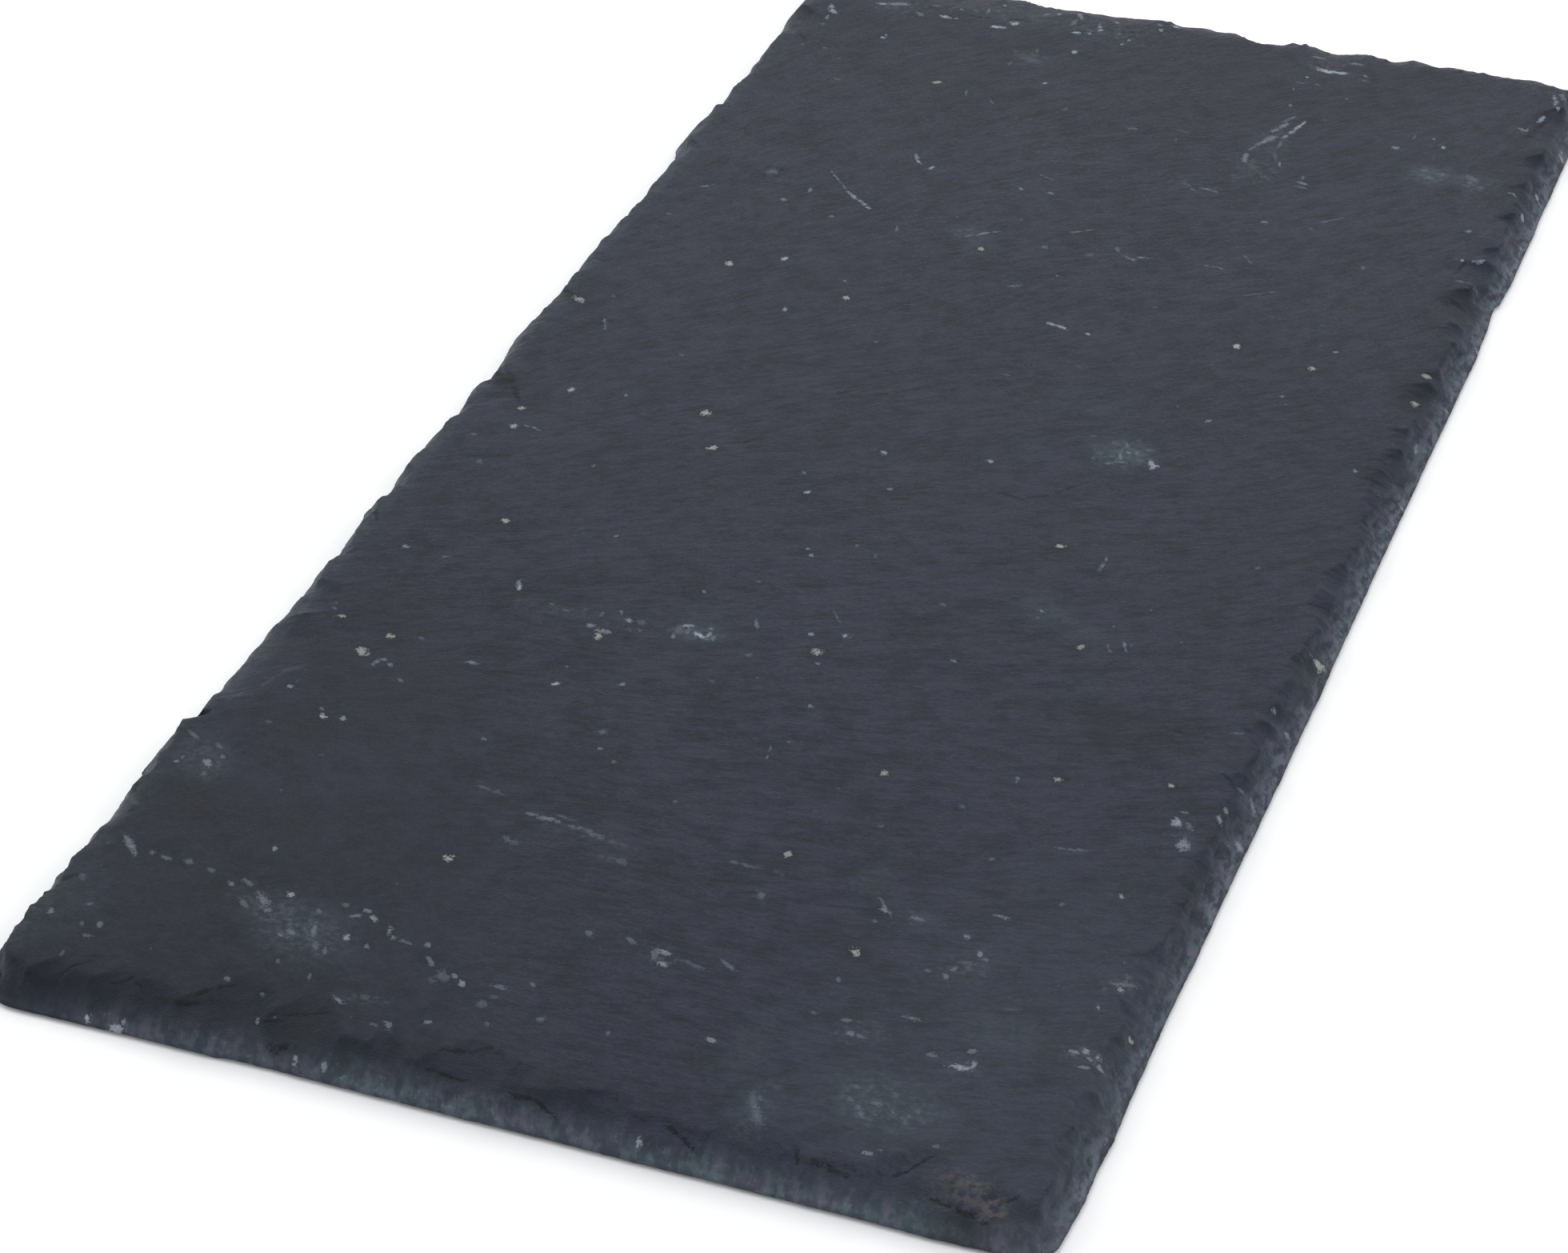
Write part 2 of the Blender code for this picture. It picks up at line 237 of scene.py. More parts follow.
# Pale mineral flecks with an olive halo, in millimetres: place and radius
FLECKS = (
    (-50.5, 166.4, 0.9), (-13.6, 88, 0.7), (-65, 62, 0.95), (-35, 56.5, 0.85), (52.5, 65.7, 0.8),
    (70.5, 61.6, 0.85), (94.5, 66.9, 0.85), (94.5, 56.6, 0.9), (-90.5, 35, 1.1), (-45.9, -1.5, 1.0),
    (-83.5, -13.5, 0.8), (-39.5, -14.5, 0.95), (40.5, -26, 0.8), (-68.5, -56.5, 0.8),
    (55, -60, 0.8), (7.6, -79.5, 0.95), (-34.6, -89.2, 0.8), (-72.7, -103, 0.8), (64, -103.5, 0.7),
    (33, -113, 0.8), (-75.3, -110.1, 1.1), (-73, -132.7, 0.7), (25, -143, 0.8), (-32, -165.5, 0.9),
    (46, -165.5, 1.0), (97.6, -169.2, 0.6), (84.3, -98.5, 0.55), (99.2, -45, 1.2),
    (-84.7, -100.1, 0.75),
)
# Pale specks without a halo, in millimetres, in groups from bright to faint: place and radius
BRIGHT_SPECKS = (
    (-37, 122.6, 0.7), (-54, 68.5, 0.75), (-45.8, 46.6, 0.75), (20.4, 59.3, 0.6), (17, 0.5, 0.65),
    (-76.6, -2.5, 0.75), (-4.9, -4, 0.7), (-82, -21, 0.9), (-14.5, -24.6, 0.6), (11, -72.4, 0.7),
    (-83.4, -72.4, 0.7), (-35.8, -107.4, 0.6), (89.3, 120.5, 0.5),
    (90.3, 120.8, 0.45), (101, 91, 0.9),
)
SOFT_SPECKS = (
    (-71.7, 107.8, 1.3),
)
SPECKS = (
    (-14, 119.4, 0.6), (-7, 119.6, 0.7), (43.6, 123.4, 0.7), (88.6, 135, 0.7), (-64.4, 95.4, 0.65),
    (-51, 91.5, 0.6), (6.5, 82, 0.6), (-38, 63.6, 0.5), (73.6, 70.1, 0.5), (67.5, 48, 0.6),
    (55.3, 32.5, 0.6), (89.5, 23, 0.5), (-64.7, -0.5, 0.5), (-18, -17.5, 0.6), (1, -17.5, 0.6),
    (-45, -53.7, 0.5), (44, -50, 0.55), (4.4, -74.2, 0.6), (33.5, -73, 0.6), (9, -83.4, 0.5),
    (12.6, -97.3, 0.5), (-23.7, -103, 0.7), (-19.5, -124.3, 0.45), (101.3, 40, 0.6),
    (100.9, -18, 0.5), (100.6, 20, 0.7), (100.4, 62, 0.6), (101, 128, 0.6), (100.2, 140, 0.5),
)
FAINT_SPECKS = (
    (54, 124.3, 0.6), (-86.8, 79.6, 0.7), (-0.3, 94, 0.8), (10.3, 94, 0.8), (47.5, 36, 0.5),
    (-84, 39, 0.5), (-83, -36.8, 0.65), (-88.7, -27, 0.6), (2, -40.7, 0.5), (7, -43, 0.6),
    (44, -52.7, 0.5), (-74.4, -73, 0.6), (-36, -101.3, 0.5), (13, -109.8, 0.6), (-21.3, -119, 0.9),
    (-15.5, -127.5, 0.5), (38, -128.8, 0.6), (60, -131.5, 0.5), (70, 110, 0.6), (31, 76, 0.5),
    (-22, 40, 0.5), (80, -20, 0.6), (-60, 20, 0.5), (-12, -60, 0.6), (-60, -30, 0.5),
    (25, -55, 0.6), (0, -135, 0.6), (50, -118, 0.6), (76, -140, 0.6),
)
# Smears and chips, in millimetres: both ends, half width, how pale
DABS = (
    (-7.2, -45.2, -6.6, -45.3, 0.5, 0.30), (-5.7, -47.2, -5, -47.4, 0.5, 0.32),
    (94.6, 213.5, 95.4, 211, 0.65, 0.14), (93.6, 209.2, 94.2, 207.4, 0.6, 0.14),
    (-84, 207.6, -80, 207.9, 0.5, 0.10), (-66, 208.2, -63.4, 208.6, 0.4, 0.10),
    (-90, 200, -89, 197, 0.45, 0.25), (-89.2, 197, -87, 194.6, 0.7, 0.40),
    (-88.6, 193, -88.4, 191, 0.4, 0.22), (-88.4, 188.2, -87.6, 187.8, 0.6, 0.10),
    (-79, 204.5, -77.2, 204.8, 0.5, 0.30), (-76.4, 205.2, -71.4, 206.8, 0.7, 0.20),
    (-68, 203, -66, 201.2, 0.5, 0.12), (-61.6, 203, -59.4, 202.6, 0.6, 0.36),
    (-57.9, 203, -57.2, 203, 0.4, 0.20), (-51.6, 212, -51.2, 208, 0.35, 0.14),
    (-48, 201.6, -44.8, 202, 0.6, 0.44), (-43.6, 205, -42, 205.5, 0.8, 0.44),
    (-48.8, 214.8, -48.4, 214.2, 0.4, 0.20), (-58.2, 208.8, -57.8, 208.2, 0.4, 0.15),
    (-38, 213.6, -36.6, 215, 0.6, 0.12), (-34.5, 216, -34, 214.2, 0.45, 0.30),
    (-29.5, 217, -27.6, 213.6, 0.6, 0.20), (-29, 212, -29, 209.4, 0.6, 0.11),
    (-27.4, 205.2, -26.2, 205.2, 0.5, 0.35), (-23.8, 206, -23.2, 206, 0.45, 0.20),
    (-22.4, 211.6, -21.6, 209.6, 0.55, 0.22), (-21.6, 208.8, -21.4, 208.2, 0.45, 0.28),
    (-19.2, 215.6, -18.9, 214.2, 0.5, 0.26), (-16.4, 208.2, -16.2, 207.8, 0.4, 0.15),
    (-13.2, 205.6, -12.8, 205.3, 0.4, 0.20), (-14.1, 203, -13.9, 202, 0.35, 0.17),
    (-7, 214.6, -7, 213.2, 0.45, 0.28), (-9, 217, -8, 216.8, 0.5, 0.18),
    (-5, 217.6, -3.4, 217, 0.6, 0.34), (-24.1, 195, -23.7, 194.2, 0.6, 0.50),
    (-71.4, 188.4, -70.9, 187, 0.3, 0.22), (-71.8, 186, -70.8, 185.8, 0.4, 0.44),
    (-25.6, 175.3, -25.4, 174.9, 0.5, 0.42), (-42.2, 164.6, -41.7, 162.2, 0.35, 0.15),
    (-36.8, 183.5, -37.2, 182.2, 0.4, 0.10), (-36, 188.2, -30.4, 185.6, 1.5, 0.055),
    (-33.2, 193.4, -32.5, 191, 0.4, 0.10), (-83.4, 175.2, -82.6, 174.8, 0.5, 0.10),
    (-88.9, 175, -88.5, 175, 0.45, 0.12), (-75.2, 159.6, -72.8, 159.4, 0.7, 0.08),
    (-77.6, 170.5, -77.2, 170.3, 0.5, 0.06), (-16.5, 164, -16.9, 161.6, 0.4, 0.09),
    (-35.5, 162, -34, 160, 0.3, 0.10), (35, 206.6, 38, 205.6, 0.7, 0.34),
    (38, 206, 42.4, 206.5, 0.6, 0.40),
    (33.7, 201.3, 33.9, 200.7, 0.3, 0.34), (46.8, 207.4, 47.2, 206.6, 0.4, 0.18),
    (46.6, 204.2, 48.4, 204.2, 0.25, 0.12), (32, 213.5, 35, 213.8, 0.45, 0.18),
    (42, 212.5, 45, 212.7, 0.55, 0.16), (32.2, 197.5, 33.8, 197.5, 0.45, 0.12),
    (36.4, 198, 37.8, 198, 0.45, 0.12), (32.2, 194, 32.5, 193, 0.35, 0.12),
    (33.6, 185.2, 34, 183.8, 0.45, 0.18), (45.7, 193.4, 45.9, 192.2, 0.3, 0.09),
    (39.5, 177.2, 38.9, 174.8, 0.4, 0.44), (38.8, 174.6, 38.1, 172.2, 0.5, 0.38),
    (38, 171.8, 37.4, 169.4, 0.6, 0.30), (37.3, 169, 36.6, 166.8, 0.5, 0.28),
    (36.5, 179, 34.4, 175, 0.45, 0.18), (35.8, 174.6, 34.4, 171.8, 0.7, 0.25),
    (34.4, 171.6, 33.2, 169.2, 0.6, 0.22),
    (34.6, 167.6, 33, 163.6, 0.9, 0.22), (32.8, 163.2, 31.6, 161, 0.6, 0.18),
    (31.8, 160.6, 30.4, 157.2, 0.5, 0.15), (30.7, 155.6, 30.9, 153.4, 0.7, 0.22),
    (30.9, 152.8, 31.2, 151, 0.6, 0.24),
    (36.8, 165, 36.8, 161.4, 0.5, 0.15), (36.5, 159, 38, 155, 0.5, 0.07),
    (39, 154.4, 39.6, 152.2, 0.35, 0.22),
    (33, 150.6, 35, 148, 0.8, 0.05), (46, 149.6, 46.3, 147.4, 0.35, 0.17),
    (45.8, 146, 47.8, 145.3, 0.45, 0.30), (46, 143.7, 48.6, 143.3, 0.4, 0.13),
    (62.5, 171.2, 63.5, 171.1, 0.7, 0.30), (70.4, 179.2, 70.8, 178.2, 0.4, 0.30),
    (73.2, 176, 74, 174.4, 0.5, 0.42), (66, 179, 66, 177.2, 0.3, 0.10),
    (43.4, 180.4, 43.8, 179, 0.3, 0.08),
    (71.6, 162.2, 72.6, 161.6, 0.8, 0.09), (75.8, 161.2, 77.2, 160.8, 0.8, 0.10),
    (73.6, 158.8, 74.6, 158.2, 0.8, 0.08), (82.4, 162.4, 84.8, 160.4, 0.9, 0.12),
    (83.2, 159.4, 84.2, 158.8, 0.6, 0.12), (86, 157.6, 87, 157.2, 0.7, 0.09),
    (93.4, 157.4, 95.2, 157.2, 0.5, 0.30), (97.8, 150.8, 98.6, 148.8, 0.35, 0.40),
    (98.4, 165.2, 99, 163.6, 0.4, 0.44), (100, 163.2, 100.4, 162.6, 0.5, 0.20),
    (99.8, 188.2, 100.2, 187, 0.60, 0.44), (99.4, 190.4, 99.6, 189.6, 0.3, 0.30),
    (92.9, 201, 91.9, 197.4, 0.36, 0.30), (88.6, 191.4, 90, 190.6, 0.6, 0.26),
    (90.7, 193.4, 90.3, 190.6, 0.35, 0.26), (93, 212, 94, 207.4, 0.45, 0.20),
    (94.9, 205.8, 95.1, 205.2, 0.35, 0.30), (0.6, 158.6, 2.4, 158.6, 0.6, 0.12),
    (13, 157, 13.1, 156, 0.4, 0.09), (11.8, 161.6, 15.6, 161.2, 0.6, 0.05),
    (-33.8, -79.2, -33.2, -80, 0.4, 0.16), (-31.8, -81.5, -30.4, -82.1, 0.55, 0.34),
    (-29, -81.3, -28, -81.8, 0.7, 0.10), (-36.8, -80.8, -36.8, -82.4, 0.4, 0.11),
    (-44.8, -82.7, -43.4, -82.9, 0.35, 0.12), (-48, -81.5, -47, -82, 0.35, 0.12),
    (-40.8, -81, -40.2, -81.2, 0.4, 0.08), (-27.8, -84, -27.3, -84.8, 0.4, 0.12),
    (-29.8, -84.6, -29.2, -85.2, 0.4, 0.09), (-38.2, -86, -36.6, -86.2, 0.6, 0.28),
    (-35, -87.2, -33, -86.8, 0.75, 0.30), (-20.2, -79.9, -18.6, -79.3, 0.45, 0.32),
    (-20.6, -80.6, -20.4, -82.6, 0.9, 0.10), (-17.4, -81.2, -15.6, -82.4, 0.5, 0.42),
    (-15.8, -82.2, -14, -83, 0.5, 0.42), (-14.4, -80.4, -14.2, -82.6, 0.4, 0.32),
    (-15, -78.4, -14.4, -79.8, 0.4, 0.20), (-13.2, -81.4, -12.9, -82.6, 0.5, 0.18),
    (-20.9, -83.9, -20.5, -84.5, 0.4, 0.22), (-18.6, -80.2, -18.6, -82.8, 0.5, 0.13),
    (-21, -66.6, -20.6, -67.4, 0.35, 0.18), (-7.3, -73.4, -6.4, -75.6, 0.4, 0.20),
    (-5.2, -85.2, -4, -85.4, 0.6, 0.10), (-8.6, -96.2, -7.4, -96.2, 0.5, 0.07),
    (48.4, 12.7, 49.6, 9.8, 0.6, 0.52), (49.8, 11.3, 50.4, 11, 0.4, 0.30),
    (39.8, 8.5, 41, 8.8, 0.45, 0.16), (41, 9.7, 43.6, 10.3, 0.35, 0.15),
    (41.3, 13.4, 42.4, 10.9, 0.35, 0.21), (42.8, 14.6, 43.3, 14, 0.45, 0.18),
    (41.3, 18, 42.4, 16.2, 0.4, 0.13), (44.2, 16, 45.3, 13.4, 0.45, 0.11),
    (46.2, 17, 47.6, 16.5, 0.7, 0.08), (36.4, 9.6, 37, 9.5, 0.5, 0.07),
    (33.8, 18.4, 34.4, 18.2, 0.5, 0.07),
    (38.6, 17.6, 40.4, 16.4, 0.6, 0.07), (43.6, 20.2, 43.6, 19.4, 0.35, 0.08),
    (-87.6, -98, -86.4, -98.1, 0.45, 0.15), (-87.9, -96, -87.1, -96.3, 0.4, 0.11),
    (-67.2, -101.5, -66.2, -101.7, 0.35, 0.11), (-54.9, -106, -53, -106, 0.55, 0.25),
    (-71.5, -113.6, -71.2, -111.6, 0.55, 0.20), (-71, -111.2, -69.6, -110.9, 0.45, 0.22),
    (-69, -111.5, -68.2, -112.5, 0.45, 0.20), (-65, -115.9, -63.8, -116.7, 0.35, 0.14),
    (-83.4, -125.3, -83.1, -126.1, 0.5, 0.34), (-82.9, -123.2, -82.7, -123.8, 0.35, 0.10),
    (-73.5, -132, -73.1, -132.9, 0.5, 0.40), (-74.5, -130.2, -74, -130.6, 0.4, 0.16),
    (-69.3, -131.5, -68.9, -132.4, 0.5, 0.38), (-42.2, -128.5, -40.6, -128.9, 0.5, 0.20),
    (-82.2, -137.7, -81.4, -138, 0.4, 0.09), (-68, -144.3, -67, -144, 0.3, 0.09),
    (-89.2, -127, -87.6, -122.4, 0.7, 0.045), (-87.4, -121.6, -84, -118.6, 0.7, 0.045),
    (-92.8, -134.6, -91, -129, 0.7, 0.035), (-94.2, -145.8, -91.8, -147.6, 0.5, 0.14),
    (-87.6, -147.8, -86.4, -148.6, 0.5, 0.12), (-87.4, -153.2, -85.8, -154.8, 0.6, 0.32),
    (-85, -150.9, -84.6, -151.6, 0.4, 0.15), (-92.4, -155.4, -92, -155.7, 0.5, 0.26),
    (-91.9, -153.6, -91.7, -154.2, 0.35, 0.13), (-85.8, -156.8, -85.2, -158, 0.5, 0.10),
    (-89.6, -180, -86.2, -183.6, 0.65, 0.22), (-83.4, -182.3, -82.7, -182.8, 0.6, 0.15),
    (-80.8, -182.8, -79, -183.6, 0.6, 0.17), (-76.2, -182.6, -75, -183, 0.6, 0.15),
    (-71.5, -183.2, -70, -184, 0.5, 0.14), (-92.4, -182.2, -91.8, -182.8, 0.6, 0.06),
    (-63.1, -173.2, -62.6, -174.2, 0.45, 0.33), (-66, -185.8, -65, -186.2, 0.5, 0.25),
    (-64.2, -184, -61.6, -185, 0.5, 0.15), (-54.4, -184.8, -53.6, -185.7, 0.6, 0.50),
    (-59.6, -186.8, -56.6, -189.6, 0.8, 0.20), (-61.8, -189.4, -59.4, -191.6, 0.5, 0.14),
    (-56.6, -190.6, -55.4, -191, 0.5, 0.18), (-46.2, -191.6, -45, -195, 0.5, 0.18),
    (-49.8, -194.6, -48.2, -195.6, 0.7, 0.17), (-51, -196.2, -50, -196.6, 0.4, 0.22),
    (-44.2, -195.6, -42.8, -198.2, 0.5, 0.13), (-47.4, -187.4, -46.8, -188.6, 0.5, 0.13),
    (-47.8, -203, -47.2, -204, 0.35, 0.14), (-39.6, -192.4, -39, -193.8, 0.45, 0.40),
    (-35.3, -193.6, -34.6, -194.5, 0.35, 0.20), (-41.4, -197.4, -40.8, -198.8, 0.35, 0.15),
    (-41.4, -187.2, -39.8, -186.6, 0.5, 0.20), (-39.8, -184.4, -38.4, -184.9, 0.5, 0.22),
    (-38, -185.6, -36.6, -186.9, 0.55, 0.36), (-44, -184.4, -43, -184.8, 0.5, 0.12),
    (-33.6, -187.8, -32.2, -189.8, 0.5, 0.27), (-32, -190.2, -31, -190.4, 0.5, 0.22),
    (-30.6, -190.4, -28, -190.8, 0.4, 0.14), (-25.4, -189.8, -24.4, -190.4, 0.5, 0.28),
    (-24, -192.8, -21.9, -195, 0.45, 0.20), (-17.5, -195.9, -16.6, -196.8, 0.4, 0.24),
    (-19.4, -196.4, -18, -198, 0.9, 0.11), (-15.2, -197.4, -14.5, -198.6, 0.5, 0.34),
    (-20.8, -198.8, -19.4, -199.4, 0.8, 0.08), (-40.8, -204.4, -40.4, -206, 0.35, 0.12),
    (-46.6, -211.6, -46, -212.6, 0.4, 0.12), (-34.4, -208.8, -32, -210, 0.6, 0.24),
    (-29.6, -206.8, -28.6, -207.4, 0.6, 0.08), (-54.4, -210.6, -53, -211, 0.5, 0.17),
    (-22.6, -212.2, -21.2, -213.6, 0.7, 0.22), (-25, -213.4, -23.6, -213.8, 0.5, 0.10),
    (-16.3, -209.8, -15.3, -209.8, 0.5, 0.24), (-44.4, -218, -43.7, -219, 0.45, 0.36),
    (-92.2, -203.8, -91.4, -204.8, 0.55, 0.24), (-87, -200.2, -85.6, -200, 0.5, 0.12),
    (-82.2, -203.8, -81.6, -205.2, 0.5, 0.19), (-85.3, -205.2, -84.8, -206, 0.35, 0.12),
    (-83, -208.4, -81.6, -208.6, 0.5, 0.14), (-84.4, -213.6, -83.9, -215.4, 0.35, 0.11),
    (-92, -192.4, -91, -194, 0.6, 0.09), (0, -177, 0.9, -177.4, 0.7, 0.15),
    (7, -175.9, 9.2, -177.2, 0.5, 0.13), (14.4, -177.5, 15.6, -178, 0.6, 0.30),
    (15, -180.6, 16.6, -180.9, 0.6, 0.34), (13, -177, 13.8, -180, 0.7, 0.17),
    (17.6, -178.4, 23, -179.6, 0.5, 0.08), (25.2, -176.2, 28, -177.8, 0.5, 0.15),
    (-3.5, -193.6, -3, -194.4, 0.4, 0.18), (-9.4, -196.6, -7.2, -196.8, 0.6, 0.14),
    (-10, -201.8, -8.6, -202, 0.8, 0.10), (1.2, -202.6, 2.2, -202, 0.7, 0.13),
    (13.8, -201.3, 14.2, -202.3, 0.35, 0.13), (30.3, -197, 32.1, -197.1, 0.5, 0.32),
    (-6.4, -206.3, -6, -207.1, 0.3, 0.10), (46, -152.2, 47.8, -152.6, 0.45, 0.30),
    (52, -152.4, 54.4, -152.9, 0.6, 0.15), (24.4, -155.4, 25.2, -156.8, 0.7, 0.14),
    (46, -155.6, 46.6, -156.5, 0.4, 0.12), (62.6, -154.8, 63.4, -154.5, 0.5, 0.25),
    (66.4, -158, 67, -159.2, 0.45, 0.30), (67.6, -159.4, 68.6, -160.2, 0.4, 0.14),
    (63.9, -163.4, 63.4, -164.8, 0.5, 0.16), (62.7, -166, 63.4, -167.2, 0.5, 0.18),
    (64, -161.8, 66.6, -161.6, 0.6, 0.09), (59, -166, 60, -166.1, 0.4, 0.12),
    (45.6, -173.5, 46.2, -174.5, 0.4, 0.16), (60, -179.5, 62.2, -179.6, 0.45, 0.21),
    (50, -184, 52, -183.8, 0.45, 0.15), (44.6, -183.8, 45.4, -184.2, 0.4, 0.10),
    (52.2, -186.6, 53.2, -187.5, 0.6, 0.20), (54, -187, 55.2, -187.4, 0.45, 0.14),
    (67, -187.8, 68.6, -187.7, 0.55, 0.15), (73.4, -184.7, 74.2, -184.5, 0.6, 0.20),
    (72, -189.5, 75, -189.2, 0.6, 0.42), (75.1, -187, 75.3, -188.6, 0.45, 0.36),
    (91.6, -177.4, 92.4, -178.6, 0.7, 0.34), (89.6, -178.9, 91, -178.9, 0.5, 0.32),
    (94, -178.2, 94.6, -179.2, 0.5, 0.34), (94.8, -180.6, 95.9, -181.4, 0.6, 0.30),
    (92.2, -182.4, 93.8, -182, 0.4, 0.24), (92.6, -179.4, 93.4, -180, 0.5, 0.22),
    (90, -165.2, 90.8, -166.6, 0.4, 0.28), (90.8, -158.9, 94.6, -157.5, 0.7, 0.15),
    (92.3, -159.6, 93, -160.2, 0.5, 0.38), (65, -215.4, 66.6, -215.4, 0.55, 0.27),
    (67.2, -214.2, 68, -213.8, 0.4, 0.12), (75.4, -210, 76.2, -210, 0.4, 0.12),
    (42.6, -207.6, 44, -211, 0.8, 0.09), (44.4, -211, 46.4, -214.6, 0.8, 0.10),
    (58.2, -203.2, 59, -203.9, 0.5, 0.10), (61, -206, 62, -207, 0.6, 0.12),
    (62.4, -203, 63.8, -203.2, 0.6, 0.11), (60, -204.6, 61, -205.6, 0.5, 0.10),
    (57.8, -200, 59, -200.2, 0.5, 0.09), (95.6, -66.6, 96, -67.8, 0.45, 0.28),
    (90.6, -78, 92.4, -77.6, 0.4, 0.10), (88, -108.8, 88.9, -109.9, 0.95, 0.42),
    (91.2, -114.4, 91.8, -116.8, 1.15, 0.33), (88.4, -105.7, 89.4, -105.8, 0.4, 0.14),
    (90.4, -109, 91.6, -110.4, 0.5, 0.14), (95.6, -101.8, 96, -102.9, 0.5, 0.27),
    (94.9, -104.4, 95.9, -106.4, 0.4, 0.36), (99.2, -106, 100.2, -107, 0.7, 0.32),
    (99, -69.5, 99.6, -70.6, 0.5, 0.25), (85.1, -133.6, 85.5, -134.8, 0.5, 0.40),
    (95.2, -93, 97.2, -93.6, 0.4, 0.12), (28.1, -223.6, 28.8, -223.3, 0.50, 0.50),
    (-9, -199.4, -7.4, -199.6, 0.4, 0.07), (75, -172, 78, -171, 0.5, 0.05),
    (-74.9, -223.9, -74, -223.9, 0.34, 0.60), (-69.6, -224.3, -67.8, -224.2, 0.45, 0.58),
    (-67.8, -223.5, -67.2, -223.5, 0.28, 0.45), (-35.2, -223.1, -34.4, -223.1, 0.36, 0.50),
    (-29.7, -223.1, -29.1, -223, 0.40, 0.34), (98.4, -93, 99.6, -95.6, 0.4, 0.22),
)
# Past this place along the tile, in millimetres, the dabs lie on rough, bruised stone: they are
# wider and paler by these factors
BRUISED_FROM = 199.0
BRUISED_WIDER = 1.20
BRUISED_PALER = 1.45
# Other pale scratches and chips, in groups from bright to faint: both ends and the half width
BRIGHT_SCRATCHES = (
    (-43.5, 128.5, -40.5, 124, 0.5), (-51.5, 104.5, -44, 98, 0.6), (18, 96, 20.5, 95.5, 0.6),
    (10.5, 61, 15.5, 60, 0.6), (-57, -76.5, -55.5, -79.5, 0.45), (93.4, 121.9, 95.6, 122.7, 0.45),
)
SCRATCHES = (
    (22, 135, 24.5, 132.5, 0.35), (25, 134.4, 30, 133.9, 0.45), (-59, 113, -52, 105, 0.3),
    (-60, 103.4, -60, 101, 0.5), (-84.5, 94.5, -82, 96.5, 0.4), (-35.5, 93, -34.5, 90, 0.35),
    (-18.5, 93, -12.5, 97.5, 0.4), (3, 102.5, 7.5, 105.5, 0.4), (15, 99.5, 16, 98, 0.5),
    (21, 96.7, 24.8, 98.2, 0.45), (36, 98.7, 41, 98.2, 0.4), (43.5, 106, 46, 103, 0.35),
    (-3, 73, 0, 75, 0.45), (-81.8, 28.8, -80, 24.8, 0.4), (98, 44, 98.8, 39, 0.5),
    (-80.5, -19.5, -76, -20.5, 0.4), (50.5, -26.5, 50.7, -32, 0.5),
    (59.5, -57, 61, -59.5, 0.35), (62.5, -55.5, 63.8, -58.5, 0.35), (56.5, -105, 57.5, -107.5, 0.4),
    (10.3, -112.7, 11.1, -116.7, 0.45), (-24, -147.8, -17, -148.4, 0.7),
    (45, -149.5, 48.5, -153.5, 0.4), (65, -147, 68, -147.3, 0.5), (22, 45, 24, 44.6, 0.3),
    (8, 36, 10, 35.6, 0.3), (-12, 128, -8, 126, 0.3),
)
FAINT_SCRATCHES = (
    (-15.5, -148.6, -8, -150.2, 0.8), (-7, -150.3, -3, -151.3, 0.8),
    (-7, -155.8, -1.8, -155.8, 0.9), (-19, -146.2, -15, -147.2, 0.6), (16, -148.8, 22, -148.4, 0.7),
    (24, -148.4, 27, -149, 0.7), (-25, -156, -22, -157.5, 0.8), (5.8, -65, 8.3, -68.5, 0.3),
    (-36, -143, -30, -144, 0.6), (70, -124, 76, -123, 0.5), (48, 88, 54, 92, 0.4),
    (56, 128, 60, 132, 0.5), (91.4, 111, 96.8, 110.6, 0.5),
)
